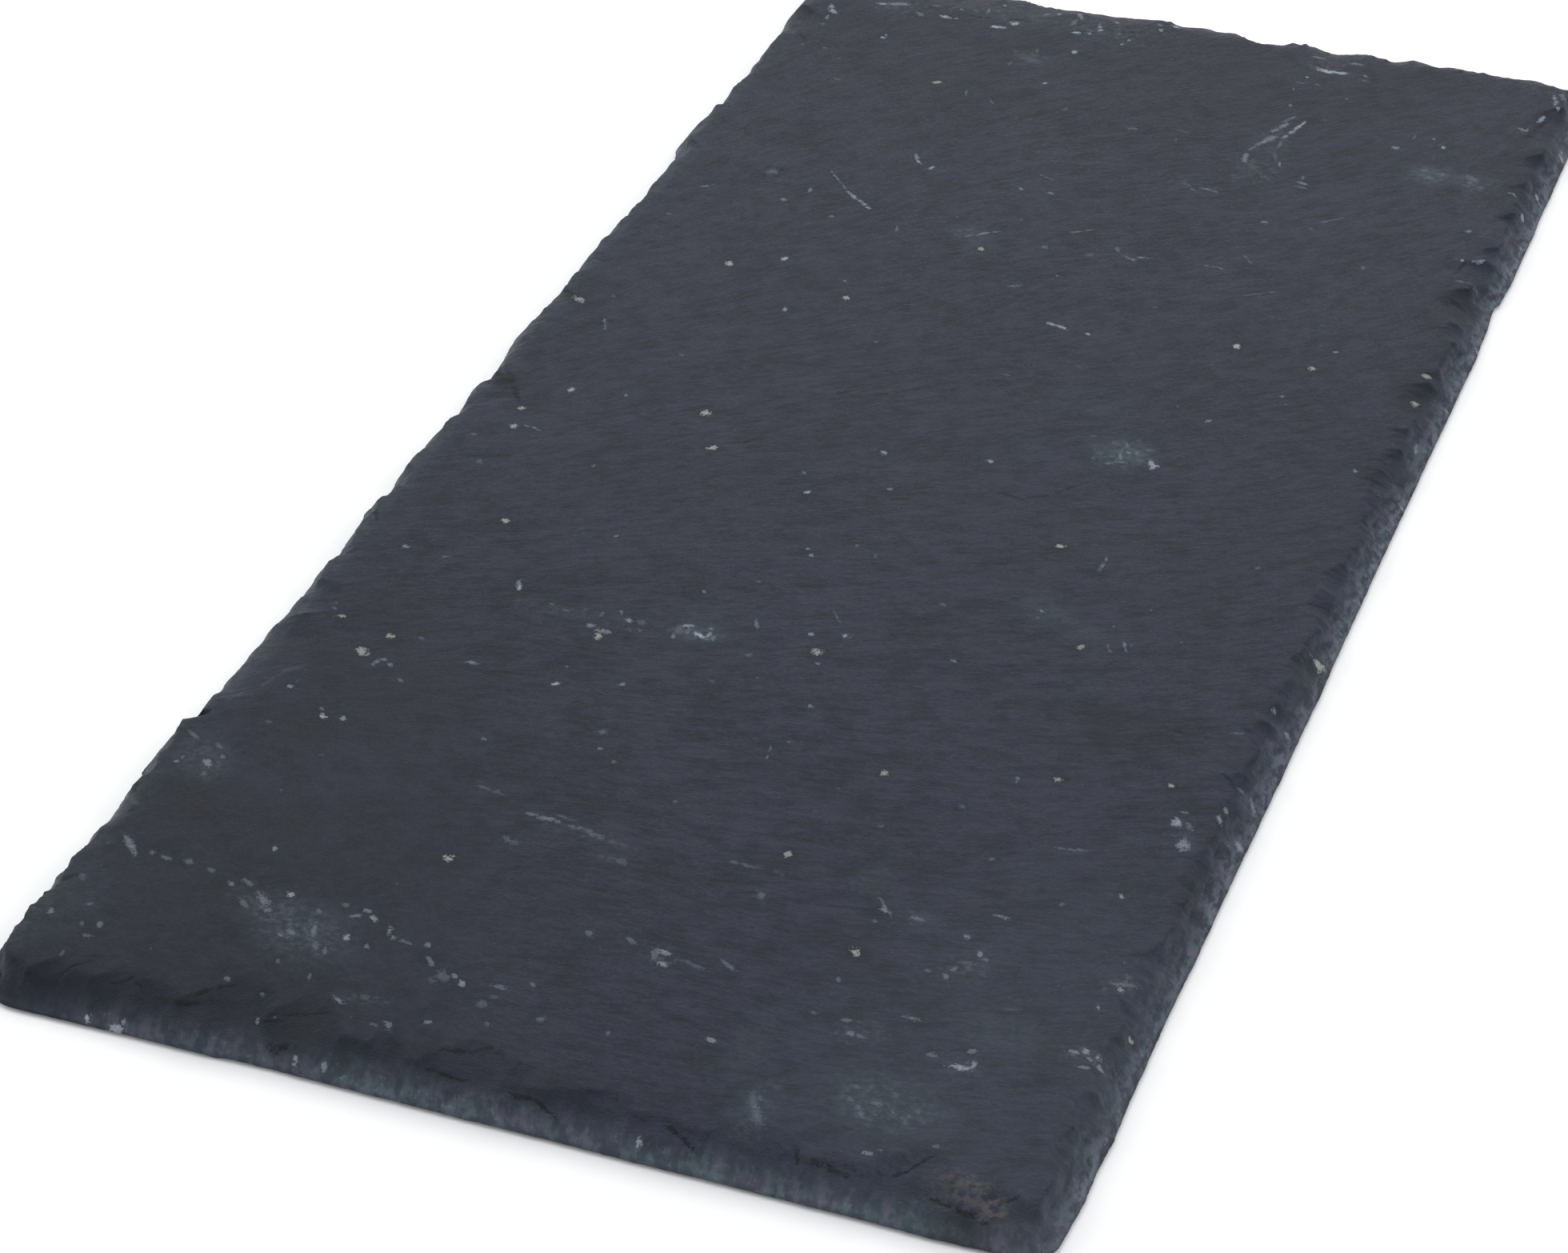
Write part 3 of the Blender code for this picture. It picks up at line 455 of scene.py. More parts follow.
# Cracks and undercut ledges, painted dark as the shade in them, in millimetres: both ends and the
# half width
CRACK_SHADES = (
    (93.7, 200, 92.1, 193.6, 0.35), (92.2, 193.4, 91.2, 186.6, 0.6), (86, 174, 88, 176, 0.4),
    (87.8, 175.8, 89.9, 178.4, 0.35), (-22.6, 193.4, -19.6, 193, 0.5), (-46, 207.6, -38, 208, 0.3),
    (-57, 205.6, -50, 206, 0.3), (-15, 210, -9, 211, 0.3),
    (-63, -218.7, -60.3, -219.3, 0.35), (-60.5, -219.3, -57.4, -218.9, 0.45),
    (-57.6, -218.9, -54, -216.4, 0.35), (-57.2, -217, -54.4, -213.6, 0.3),
    (-54.6, -213.8, -51.4, -211.2, 0.3), (-73, -218, -71, -217.2, 0.25),
    (-71.2, -217.2, -69.4, -216, 0.25), (-69.6, -216, -66, -218.1, 0.3),
    (-40, -222.1, -35.4, -221.3, 0.4), (-38.8, -222.8, -36.6, -222, 0.25),
    (-40.2, -215.6, -35.4, -213.8, 0.3), (-35.6, -213.9, -33, -212.7, 0.25),
    (-81, -214, -75.4, -212, 0.25), (-43, -218.5, -40.4, -216.9, 0.3),
    (-10.6, -215.4, -6.8, -214.2, 0.35), (-7, -214.3, -2.4, -211.7, 0.3),
    (2.4, -214.6, 3.8, -214.2, 0.25), (4, -220.8, 8.2, -221.3, 0.3), (8, -221.2, 12.2, -222.5, 0.3),
    (31.7, -219.8, 35.2, -221.4, 0.3), (35, -221.3, 37.6, -222.7, 0.3),
    (-12, -220.2, -4, -220, 0.25), (54.1, -217.9, 55.6, -221, 0.3), (57, -220, 60.2, -220.1, 0.4),
    (60, -220, 64.6, -221.4, 0.45), (71, -218.6, 73.2, -216.4, 0.25),
    (73, -216.6, 76.2, -211.8, 0.25), (90.6, -218.8, 92.8, -216.8, 0.25),
    (78.6, -220.8, 83, -222, 0.35), (83, -222.3, 88, -222.7, 0.4), (-98, 191, -93.5, 184.2, 0.7),
    (-94, 184.8, -88.8, 177.2, 0.45), (-93, 0.5, -88.5, -5, 0.5), (-88.8, -5.2, -84, -12.7, 0.5),
    (89.9, 112.8, 91, 121.4, 0.35), (94, 18, 93.8, 22, 0.45), (92.5, -29.4, 97.5, -27.4, 0.3),
    (22, -10.4, 28, -11.7, 0.35), (28, -11, 33, -7.9, 0.3), (33, -7.3, 37.5, -1.5, 0.25),
    (-22.5, 15.7, -20, 17.7, 0.4), (-15, 18, -11.5, 20, 0.4), (-10.5, 21.5, -5, 25, 0.25),
    (-38, -11.6, -34.2, -10.1, 0.25), (-34.2, -10.1, -30.4, -6.8, 0.3),
    (-74.2, 108.8, -72.8, 110.4, 0.3),
    (-70.8, 110.4, -69.3, 108.8, 0.3), (-69.2, 106.8, -70.4, 105.2, 0.3),
    (-72.2, 104.9, -73.8, 105.9, 0.3), (-96, 38.4, -92.5, 35.9, 0.8), (79, -81, 84, -81.6, 0.4),
    (91, 103.6, 96, 101.4, 0.4), (-96, -60, -93, -66, 0.3), (-97, 118, -95, 110, 0.3),
)
# Soft stains, in millimetres: place, half extents, turn in degrees and strength
OLIVE_STAINS = (
    (-77, -95, 11, 8, 0, 0.50), (-74, -137, 7, 5, -15, 0.95), (-84, -165, 8, 8, 20, 0.95),
    (-62.5, -166, 4, 7, 20, 0.80), (-67, -187.5, 3.2, 7, 0, 0.85), (72, -79, 10, 2.6, 0, 0.55),
    (68.5, -86, 4.5, 7, 0, 0.75), (77.5, -87, 3.6, 6, 0, 0.7), (57, -79, 7, 3, 0, 0.20),
    (-36.5, -217.5, 5.5, 5, 10, 0.95), (-56, -215, 5, 2.5, 40, 0.45),
    (94, 101, 5, 8, 0, 0.75), (94.5, 60, 4, 10, 0, 0.75), (-90, -6, 3, 8, 35, 0.45),
    (-93, 37, 5, 4, 0, 0.55), (48, -168, 4, 6, 0, 0.25), (-32, -93, 2, 4, 0, 0.3),
    (-80, -117, 4, 9, 25, 0.45), (-60, 58, 3, 4, 0, 0.3), (85, -225, 6, 2.6, 0, 0.7),
    (-61, 208, 8, 4, 0, 0.40), (-15, -85, 4, 3, 0, 0.25), (98, -50, 2.5, 9, 0, 0.65),
    (91, 160, 7, 12, 0, 0.25), (48, 185, 5, 10, 0, 0.2), (-62, -120, 14, 18, 0, 0.22),
    (-98, 196, 4, 6, 0, 0.4), (12, 214, 8, 4, 0, 0.35), (70, 208, 10, 4, 0, 0.25),
    (95, -111, 3.4, 3.4, 0, 0.6), (97, -134, 3, 8, 0, 0.4), (98, 30, 3, 10, 0, 0.35),
)
TEAL_STAINS = (
    (-97, -85, 3, 20, 0, 0.5), (-97, 30, 4, 12, 0, 0.6), (-97, 66, 3, 16, 0, 0.45),
    (-96.5, 100, 4, 14, 0, 0.45), (-96, -45, 3, 22, 0, 0.45), (-96, -120, 4, 8, 0, 0.4),
    (-18, -75, 4, 4, 0, 0.3), (46, -50, 6, 4, -30, 0.5), (55, -55, 4, 3, 0, 0.4),
    (60, -73, 3, 3, 0, 0.35), (78, -178, 8, 5, 0, 0.4), (42, -145, 3, 5, 0, 0.3),
    (-14, 88, 4, 4, 0, 0.5), (24, 8, 4, 4, 0, 0.3), (42, 14, 7, 6, 0, 0.4),
    (66, -203, 10, 8, 0, 0.45), (58, -200, 5, 6, 0, 0.3), (74, 160, 5, 5, 0, 0.4),
    (-48, -194, 13, 7, -25, 0.32), (-18, 94, 5, 4, 0, 0.45), (-42, 210, 14, 5, 0, 0.35),
    (38, -195, 3, 9, 0, 0.3), (44, -212, 4, 8, 0, 0.4), (-97, 150, 3, 25, 0, 0.35),
    (96, -190, 4, 14, 0, 0.25), (30, 30, 9, 6, 0, 0.2), (74, 160, 6, 5, 0, 0.5),
    (84, 160, 4, 4, 0, 0.4), (-17, -81.5, 5, 3, 0, 0.5), (-45, -192, 9, 8, -25, 0.16),
    (42, 13, 6, 4, 0, 0.5), (-92, -200, 8, 12, 0, 0.25), (-88, -152, 5, 8, 35, 0.35),
)
# Powdery scuffs drawn as clustered specks, in millimetres: place, half extents, turn, strength
SCUFFS = (
    (42, 13, 5, 5, 0, 0.95), (-16.5, -81.5, 5, 2.4, 0, 1.0), (-48, -194, 9, 6, -25, 0.60),
    (-58, -189, 6, 3, -20, 0.7), (35, 147, 6, 7, 0, 0.65), (35, 166, 5, 9, 0, 0.4),
    (74, 160, 4, 4, 0, 0.6), (85, 159, 4, 5, 0, 0.65), (-33, 188, 6, 4, 0, 0.55),
    (65, -203, 8, 6, 0, 0.7), (45, -212, 2.4, 7, 8, 0.7), (15, -179, 2.6, 2.4, 0, 1.0),
    (93, -179.5, 4.5, 3, 0, 0.95), (53, -152.5, 3.6, 2.6, 0, 0.7), (93, -158.5, 4.5, 3, 15, 0.75),
    (91, -112, 3, 4, 0, 0.7), (54, -186, 5, 3, 0, 0.6), (-88, -154, 4, 6, 40, 0.6),
    (-94, -168, 3, 3, 0, 0.5), (-29, -208, 5, 2, 0, 0.45), (-20, 95, 4, 3, 0, 0.5),
    (-56, 210, 26, 5, 0, 0.45), (-18, 209, 10, 7, 0, 0.65), (38, 208, 8, 4, 0, 0.45),
    (-42, -83, 12, 2, 0, 0.4), (22, 136, 8, 3, -20, 0.5), (-53, -55.5, 2, 2.4, 0, 0.5),
    (-95, -208, 3, 9, 0, 0.55), (-75, 204, 5, 3, 0, 0.8), (24, -156.5, 2, 2, 0, 0.5),
    (-14, -149.5, 11, 2, -8, 0.45), (66, -163, 4, 6, 0, 0.45), (74, -189, 3, 2.4, 0, 0.8),
    (90, 215, 8, 4, 0, 0.4), (55, 216, 4, 3, 0, 0.5), (66.5, 79, 3, 4, 0, 0.35),
    (98.5, -109, 2, 4, 0, 0.7), (98, -47, 1.6, 3, 0, 0.7), (-12, 140, 14, 6, 0, 0.22),
)
RUST_STAINS = (
    (84.5, -218.4, 5, 3.4, -10, 0.75), (89.6, -220.3, 2.2, 2.6, 0, 0.9), (94.5, -223, 3, 2, 0, 0.3),
    (79, -216, 3, 2, 0, 0.35),
)
# Broad soft shades over the stone, in millimetres: place, half extents, turn and strength; they
# darken the colour, and below nought they lighten it
SHADES = (
    (-85, -215, 75, 60, 20, 0.34), (-60, -150, 60, 50, 0, 0.12), (-30, -225, 80, 20, 0, 0.12),
    (-75, -100, 40, 40, 0, 0.10), (-20, 190, 90, 60, 0, 0.10), (20, 200, 60, 30, 0, 0.06),
    (86, -190, 40, 66, 0, -0.075), (45, -212, 40, 16, 0, -0.03), (98, -103, 1.3, 4, 0, 0.35),
    (96.8, -67.5, 1.0, 1.7, 0, 0.4), (97, -86, 1.6, 4, 0, 0.25), (86, -224.5, 5, 1.8, 0, 0.35),
)
# Each group of specks with how pale and warm it is and how much it is broken up, and each group
# of scratches with how pale it is
SPECK_GROUPS = (
    (FLECKS, 0.46, 0.8, 0.3), (BRIGHT_SPECKS, 0.48, 0.1, 0.4), (SOFT_SPECKS, 0.17, 0.0, 0.7),
    (SPECKS, 0.24, 0.1, 0.5), (FAINT_SPECKS, 0.12, 0.0, 0.5),
)
SCRATCH_GROUPS = ((BRIGHT_SCRATCHES, 0.40), (SCRATCHES, 0.20), (FAINT_SCRATCHES, 0.10))
# Specks: least and most stretch and paleness, as factors, and how much wider they are drawn
SPECK_STRETCH = (0.85, 1.35)
SPECK_PALENESS = (0.8, 1.25)
SPECK_WIDER = 1.1
# Scratches are drawn as short dabs. Their spacing in millimetres, then least and most of: shift
# along in spacings, shift aside in half widths, width, length and paleness as factors, and lean
# in radians. Last, how warm they are and how much they are broken up
DAB_SPACING = 1.7
SHIFT_ALONG = (-0.25, 0.25)
SHIFT_ASIDE = (-0.4, 0.4)
DAB_WIDTH = (0.7, 1.2)
DAB_LENGTH = (0.5, 0.8)
DAB_PALENESS = (0.5, 1.35)
DAB_LEAN = (-0.2, 0.2)
SCRATCH_LOOK = (0.1, 0.6)
# Smears and cracks: what their half length takes of the line's length and of their half width,
# how much wider they are drawn, how warm they are and how much they are broken up
SMEAR_LENGTH = (0.5, 0.6)
SMEAR_WIDER = 1.15
SMEAR_LOOK = (0.0, 0.4)
CRACK_LENGTH = 0.60
CRACK_WIDER = 1.6
# A crack's paleness is below nought: it is darkened as painted shade
CRACK_SHADE_PALENESS = -0.9
CRACK_LOOK = (0.0, 0.1)
MARK_LAYERS = ("marks", "next_marks")
FAR_AWAY = 60.0

# The grain's turn is laid at steps of the compass, in degrees. The pattern is shifted along by
# so many cells from step to step in the relief, and lifted by so many in the material
GRAIN_STEP = 12.0
SHIFT_BY_STEP = 17.0
LIFT_BY_STEP = 7.3
# Noises of the material, in features for each millimetre: crumbs, broken blots, hue and mottle
CRUMB_SCALE = 2.1
BROKEN_SCALE = 0.72
HUE_SCALE = 0.22
MOTTLE_SCALE = 0.055
# Width and length of the cleavage's plates and strands in the material, in millimetres
PLATE_SIZE = (1.7, 4.8)
STRAND_SIZE = (3.2, 8.5)
PLATES_IN_NOISE = 8.0
# The lower part of each plate, as a share of it, that is painted as shade at the foot of its step
LIP_SHARE = 0.26
# How much each pattern lightens or darkens the ground, and the sums of the dark and light stone
PLATE_TONE = 0.18
STRAND_TONE = 1.08
MOTTLE_TONE = 0.80
CRUMB_TONE = 0.36
BROKEN_TONE = 0.90
HUE_TONE = 0.40
DARK_TONE = 0.80
LIGHT_TONE = 1.66
LEAST_CALM = 0.15
# How dark the painted shade on the plates' lower lips is
LIP_SHADE_DARKNESS = 0.60
# Least and most strength of the crushed tone on the sides and at the front, which takes over
# between two places along the tile, in millimetres
SIDE_CRUSHED = (0.14, 1.0)
FRONT_CRUSHED = (0.40, 0.84)
FRONT_FROM = -205.0
FRONT_TO = -221.0
# How dark the painted shade over the scars is
SCAR_SHADE_DARKNESS = 0.05
# The crushed share: at the rim, what it loses over the crushed run, what is left just beyond and
# the power it fades by, its mean and unevenness along the side with the cells to one swing, and
# what wear takes of it
CRUSHED_AT_RIM = 1.05
CRUSHED_LOSS = 0.70
CRUSHED_BEYOND = 0.35
FADE_POWER = 1.5
CRUSHED_MEAN = 0.85
CRUSHED_SWING = 0.35
CELLS_IN_SWING = 5.0
WEAR_LOSS = 0.9
# The scar's share away from the front side, and how far the front's full share reaches, in metres;
# the share sets the hackle's bump and the painted shade over the scars
SCAR_SHARE = 0.2
SCAR_REACH = 0.020
# Width of the line of painted shade at the ledge, and the ledge's height where it is fully dark, in
# metres
LEDGE_SHADE_WIDTH = 0.0005
LEDGE_FOR_FULL_SHADE = 0.0003
GRIT_PALENESS = 0.12
# How dark the painted shade at the ledge is
LEDGE_SHADE_DARKNESS = 0.50
# Painted contact shadow low on the sides, next to the floor: how dark it is and how high it
# reaches, in metres
CONTACT_SHADOW_DARKNESS = 0.85
CONTACT_SHADOW_HEIGHT = 0.00045
# Scuffs: strength of their haze, blots and crumbs
HAZE_STRENGTH = 0.12
BLOT_STRENGTH = 0.24
CRUMB_STRENGTH = 0.10
# Dust: cell and least and most size of its specks, in millimetres, and its strength
DUST_CELL = 4.6
DUST_SIZE = (0.08, 0.36)
DUST_STRENGTH = 0.5
RUST_STRENGTH = 0.7
# Marks: how far crumbs and blots fray their outline, in half widths, where their core fades, how
# far a fleck's halo reaches and how strong it and a crack's painted shade are
FRAY_BY_CRUMB = 2.6
FRAY_BY_BLOT = 2.2
CORE_FADE = (1.10, 0.50)
HALO_REACH = 3.6
HALO_STRENGTH = 0.50
CRACK_SHADE_STRENGTH = 0.85
# Heights of the bump, in millimetres, and the least and most roughness and the sheen
PLATE_BUMP = 0.035
CRUMB_BUMP = 0.05
BLOT_BUMP = 0.10
HACKLE_BUMP = 0.20
ROUGHNESS = (0.50, 0.68)
SHEEN = 0.12

# Studio: half side and level of the floor in metres, the floor's and the surround's look, the
# camera's range in metres, and each softbox with its place and size in metres and its watts
FLOOR_HALF = 4.0
FLOOR_LEVEL = -0.0003
FLOOR_COLOUR = (0.94, 0.94, 0.942)
FLOOR_ROUGHNESS = 0.9
FLOOR_SHEEN = 0.1
SURROUND_COLOUR = (0.97, 0.98, 1.0)
SURROUND_STRENGTH = 0.95
CLIP_RANGE = (0.02, 50.0)
SOFTBOXES = (
    ("back_softbox", (-0.3, 1.9, 1.3), (2.2, 1.2), 12.0),
    ("left_softbox", (-1.7, 0.2, 1.1), (1.6, 1.0), 8.0),
    ("right_softbox", (1.7, 0.6, 1.0), (1.6, 1.0), 8.0),
)

# Colours of the stone, as linear red, green and blue
SLATE_DARK = (0.0150, 0.0182, 0.0298)
SLATE_LIGHT = (0.0265, 0.0307, 0.0480)
VIOLET = (0.0252, 0.0236, 0.0395)
OLIVE = (0.0138, 0.0165, 0.0188)
TEAL = (0.0380, 0.0560, 0.0680)
CRUSHED = (0.1050, 0.1250, 0.1450)
PALE = (0.4600, 0.5150, 0.5900)
WARM_PALE = (0.5300, 0.5300, 0.4950)
RUST = (0.0950, 0.0860, 0.0790)
# Near black for painted shade in cracks, under ledges, on plate lips, over scars and at the foot;
# the broad shades darken towards it too
SHADE_BLACK = (0.0060, 0.0065, 0.0085)
TEAL_STREAK = (0.1020, 0.1340, 0.1560)
LILAC_STREAK = (0.1270, 0.1340, 0.1720)


def smooth_step(value):
    """Nought below 0, one above 1, and between them three squares less two cubes."""
    t = np.clip(value, 0.0, 1.0)
    return t * t * (3.0 - 2.0 * t)


def waves(place, lengths, seed):
    """Mean of one sine for each wavelength, with seeded phases."""
    phases = np.random.default_rng(seed).uniform(0.0, 2.0 * np.pi, len(lengths))
    total = np.zeros_like(place)
    for length, phase in zip(lengths, phases):
        total += np.sin(2.0 * np.pi * place / length + phase)
    return total / len(lengths)


def lattice_noise(u, v, seed):
    """Random heights from -1 to 1 on the whole numbers of u and v, smoothly blended between."""
    table = np.random.default_rng(seed).uniform(-1.0, 1.0, (256, 256))
    cell_u = np.floor(u).astype(int)
    cell_v = np.floor(v).astype(int)
    blend_u = smooth_step(u - cell_u)
    blend_v = smooth_step(v - cell_v)
    low = table[cell_u % 256, cell_v % 256] * (1 - blend_u)
    low = low + table[(cell_u + 1) % 256, cell_v % 256] * blend_u
    high = table[cell_u % 256, (cell_v + 1) % 256] * (1 - blend_u)
    high = high + table[(cell_u + 1) % 256, (cell_v + 1) % 256] * blend_u
    return low * (1 - blend_v) + high * blend_v


def line_noise(place, cell, seed):
    """Lattice noise along one line, in cells of the given length."""
    return lattice_noise(place / cell, np.full_like(place, 0.5), seed)


def side_inset(name, place):
    """How far the rim stands in: a straight run from cusp to cusp, deepened by a parabola
    between them, with the fine crumble of the broken edge added."""
    side = SIDES[name]
    cusps = np.array(side.cusps) * MM
    index = np.clip(np.searchsorted(cusps[:, 0], place) - 1, 0, len(cusps) - 2)
    first = cusps[index]
    second = cusps[index + 1]
    share = np.clip((place - first[..., 0]) / (second[..., 0] - first[..., 0]), 0.0, 1.0)
    chord = first[..., 1] + (second[..., 1] - first[..., 1]) * share
    crumble = line_noise(place, CRUMBLE_CELLS[0], side.seed + 40)
    crumble = crumble + 0.5 * line_noise(place, CRUMBLE_CELLS[1], side.seed + 41)
    bite = first[..., 2] * 4.0 * share * (1.0 - share)
    return chord + bite + side.roughness * (1.0 + crumble)


def small_spalls(name):
    """Seeded flakes along a side, as rows of place, half length and reach, in metres."""
    half = HALF_LENGTH if name in ("left", "right") else HALF_WIDTH
    draw = np.random.default_rng(SIDES[name].seed)
    rows = []
    place = -half
    while place < half:
        half_length = draw.uniform(*FLAKE_HALF_LENGTH)
        rows.append((place, half_length, SIDES[name].reach * draw.uniform(*FLAKE_REACH)))
        place += half_length * draw.uniform(*FLAKE_STEP)
    return np.array(rows)


def side_reach(name, place):
    """How far the spalled strip reaches in: the outermost of half ellipses, one per flake."""
    side = SIDES[name]
    flakes = np.vstack((np.array(side.spalls) * MM, small_spalls(name)))
    wander = FLAKE_WANDER * line_noise(place, WANDER_CELL, side.seed + 60)
    offset = (place[..., None] + wander[..., None] - flakes[:, 0]) / flakes[:, 1]
    scar = flakes[:, 2] * np.sqrt(np.clip(1.0 - offset * offset, 0.0, 1.0))
    ragged = 1.0 + REACH_RAGGED * line_noise(place, RAGGED_CELL, side.seed + 61)
    return np.maximum(scar.max(axis=-1), side.reach * REACH_BETWEEN) * ragged


def side_distances(x, y):
    """Distance of each point inside each side's rim line."""
    return {
        "left": x + HALF_WIDTH - side_inset("left", y),
        "right": HALF_WIDTH - side_inset("right", y) - x,
        "front": y + HALF_LENGTH - side_inset("front", x),
        "back": HALF_LENGTH - side_inset("back", x) - y,
    }


def rim_distance(inside):
    """Distance inside the whole rim, with a round corner where two sides meet."""
    nearest = np.minimum.reduce(list(inside.values()))
    for (across, along), radius in CORNER_RADII.items():
        short_x = np.clip(radius - inside[across], 0.0, None)
        short_y = np.clip(radius - inside[along], 0.0, None)
        in_corner = (short_x > 0.0) & (short_y > 0.0)
        nearest = np.where(in_corner, radius - np.hypot(short_x, short_y), nearest)
    return nearest


def worn_share(x, y):
    """How much of the steep face's height is left near the worn corner: one less a bell curve
    of the distance from it."""
    distance = np.hypot(x - WORN_CORNER[0], y - WORN_CORNER[1])
    return 1.0 - WORN_SHARE * np.exp(-(distance / WORN_SIZE) ** 2)


def swayed(value, place, sway, seed):
    """A value that sways along a side by a share of itself, over the sway's wavelengths."""
    share, lengths = sway
    return value * (1.0 + share * waves(place, lengths, seed))


def dressing(x, y, inside):
    """Steep run, steep height, spall reach, ledge height and reach of the crushed tone at each
    point, blended between the sides by the fourth power of their nearness; the run is fluted."""
    totals = np.zeros((5,) + x.shape)
    weight_sum = np.zeros_like(x)
    for name, side in SIDES.items():
        place = y if name in ("left", "right") else x
        weight = np.clip(inside[name], LEAST_NEARNESS, None) ** NEARNESS_POWER
        run = swayed(side.run, place, RUN_SWAY, side.seed)
        run = run * (1.0 + side.fluting * line_noise(place, FLUTE_CELL, side.seed + 80))
        height = swayed(side.height, place, HEIGHT_SWAY, side.seed + 1)
        height = height + HEIGHT_STEP * line_noise(place, HEIGHT_STEP_CELL, side.seed + 81)
        reach = np.maximum(side_reach(name, place), run + LEAST_SCAR)
        ledge = swayed(side.ledge, place, LEDGE_SWAY, side.seed + 2)
        for row, value in enumerate((run, height, reach, ledge, side.fade)):
            totals[row] += weight * value
        weight_sum += weight
    run, height, reach, ledge, fade = totals / weight_sum
    return run, height * worn_share(x, y), reach, ledge, fade


def grain_turn(x, y):
    """Turn of the cleavage grain from the short side, in degrees: a polynomial in the place
    across and along the tile, with a slow sway."""
    across = x / GRAIN_ACROSS
    along = y / GRAIN_ALONG
    turn = 30.0 + 27.0 * along - 8.0 * along ** 2 - 6.5 * along ** 3
    turn = turn - 5.5 * across - 8.4 * across * along + 13.0 * across ** 2
    turn = turn + 30.0 * across ** 2 * np.clip(along, 0.0, None) * (across > 0.0)
    return turn + GRAIN_SWAY * lattice_noise(x / GRAIN_SWAY_CELL, y / GRAIN_SWAY_CELL, 97)


def cleft_relief(x, y, cells, seed):
    """Lattice noise drawn out along the grain in cells of a width and a length, laid at the two
    nearest steps of the compass and blended between them."""
    width, length = cells
    turn = grain_turn(x, y) / GRAIN_STEP
    whole = np.floor(turn)
    share = smooth_step(turn - whole)
    total = np.zeros_like(x)
    for step in (0.0, 1.0):
        angle = np.radians((whole + step) * GRAIN_STEP)
        along = (x * np.cos(angle) + y * np.sin(angle)) / length
        across = (y * np.cos(angle) - x * np.sin(angle)) / width
        shift = (whole + step) * SHIFT_BY_STEP
        total += lattice_noise(along + shift, across, seed) * np.abs(1.0 - step - share)
    return total


def top_height(x, y):
    """The cleft top face: its mean level, long shallow waves and low strands that fan out."""
    slant = SLANT_DIRECTION[0] * x + SLANT_DIRECTION[1] * y
    swell = waves(y, SWELL_ALONG, 21) + waves(x, SWELL_ACROSS, 22)
    strands = cleft_relief(x, y, STRAND_CELLS, 90) + 0.5 * cleft_relief(x, y, FINE_STRAND_CELLS, 91)
    fine = lattice_noise(x / FINE_CELL, y / FINE_CELL, 92)
    level = THICKNESS + SWELL_HEIGHT * swell + SLANT_HEIGHT * waves(slant, SLANT_LENGTHS, 23)
    return level + STRAND_HEIGHT * strands + FINE_HEIGHT * fine


def surface_height(x, y):
    """Height of the outer surface over each point: the steep face from the arris up, then the
    dished, hackly scar of the spalled strip, the ledge at its inner end and the top face."""
    inside = side_distances(x, y)
    depth = rim_distance(inside)
    run, height, reach, ledge, _ = dressing(x, y, inside)
    top = top_height(x, y)
    steep_share = np.clip(depth / run, 0.0, 1.0)
    scar_share = np.clip((depth - run) / (reach - run), 0.0, 1.0)
    ledge_share = smooth_step((depth - reach) / LEDGE_WIDTH)
    steep = ARRIS_HEIGHT + (height - ARRIS_HEIGHT) * steep_share ** STEEP_POWER
    coarse, fine = HACKLE_CELLS
    hackle = lattice_noise(x / coarse, y / coarse, 93) + 0.5 * lattice_noise(x / fine, y / fine, 94)
    hackle = HACKLE_HEIGHT * hackle * 4.0 * scar_share * (1.0 - scar_share)
    scar = (top - ledge - height) * scar_share ** SCAR_POWER + hackle
    return np.where(depth < run, steep, height + scar + ledge * ledge_share)


def rim_columns(count_x, count_y):
    """Rim points and the band's inner points, once round from the front left corner: each side
    of the inner rectangle is walked in equal shares, and on the column through the same share
    of the nominal rectangle the rim is where the distance inside is nought."""
    share_x = np.arange(count_x) / count_x * 2.0 - 1.0
    share_y = np.arange(count_y) / count_y * 2.0 - 1.0
    one_x = np.ones(count_x)
    one_y = np.ones(count_y)
    unit_x = np.concatenate((share_x, one_y, -share_x, -one_y))
    unit_y = np.concatenate((-one_x, share_y, one_x, -share_y))
    inner = np.stack((unit_x * (HALF_WIDTH - BAND), unit_y * (HALF_LENGTH - BAND)), axis=1)
    outer = np.stack((unit_x * HALF_WIDTH, unit_y * HALF_LENGTH), axis=1)
    low = np.zeros(len(unit_x))
    high = np.full(len(unit_x), RIM_SEARCH)
    for _ in range(HALVINGS):
        middle = (low + high) / 2.0
        point = outer + (inner - outer) * middle[:, None]
        is_inside = rim_distance(side_distances(point[:, 0], point[:, 1])) > 0.0
        high = np.where(is_inside, middle, high)
        low = np.where(is_inside, low, middle)
    return outer + (inner - outer) * high[:, None], inner


def ring(rim, inner, inset):
    """The rim moved along its columns until it stands in by the given inset."""
    depth = np.abs(inner - rim).max(axis=1)
    return rim + (inner - rim) * np.clip(inset / depth, 0.0, 1.0)[:, None]


def strip_faces(start_a, count_a, start_b, count_b):
    """Upward faces between two closed rings, a outside b: quads where the counts are equal,
    and three triangles for each inner step where the inner ring has half the points."""
    if count_a == count_b:
        here = np.arange(count_a)
        after = (here + 1) % count_a
        quads = np.stack((start_a + here, start_a + after, start_b + after, start_b + here), axis=1)
        return quads, np.empty((0, 3), int)
    inner = np.arange(count_b)
    first = start_a + 2 * inner
    middle = first + 1
    last = start_a + (2 * inner + 2) % count_a
    near = start_b + inner
    far = start_b + (inner + 1) % count_b
    triangles = np.concatenate((
        np.stack((first, middle, near), axis=1),
        np.stack((middle, far, near), axis=1),
        np.stack((middle, last, far), axis=1),
    ))
    return np.empty((0, 4), int), triangles


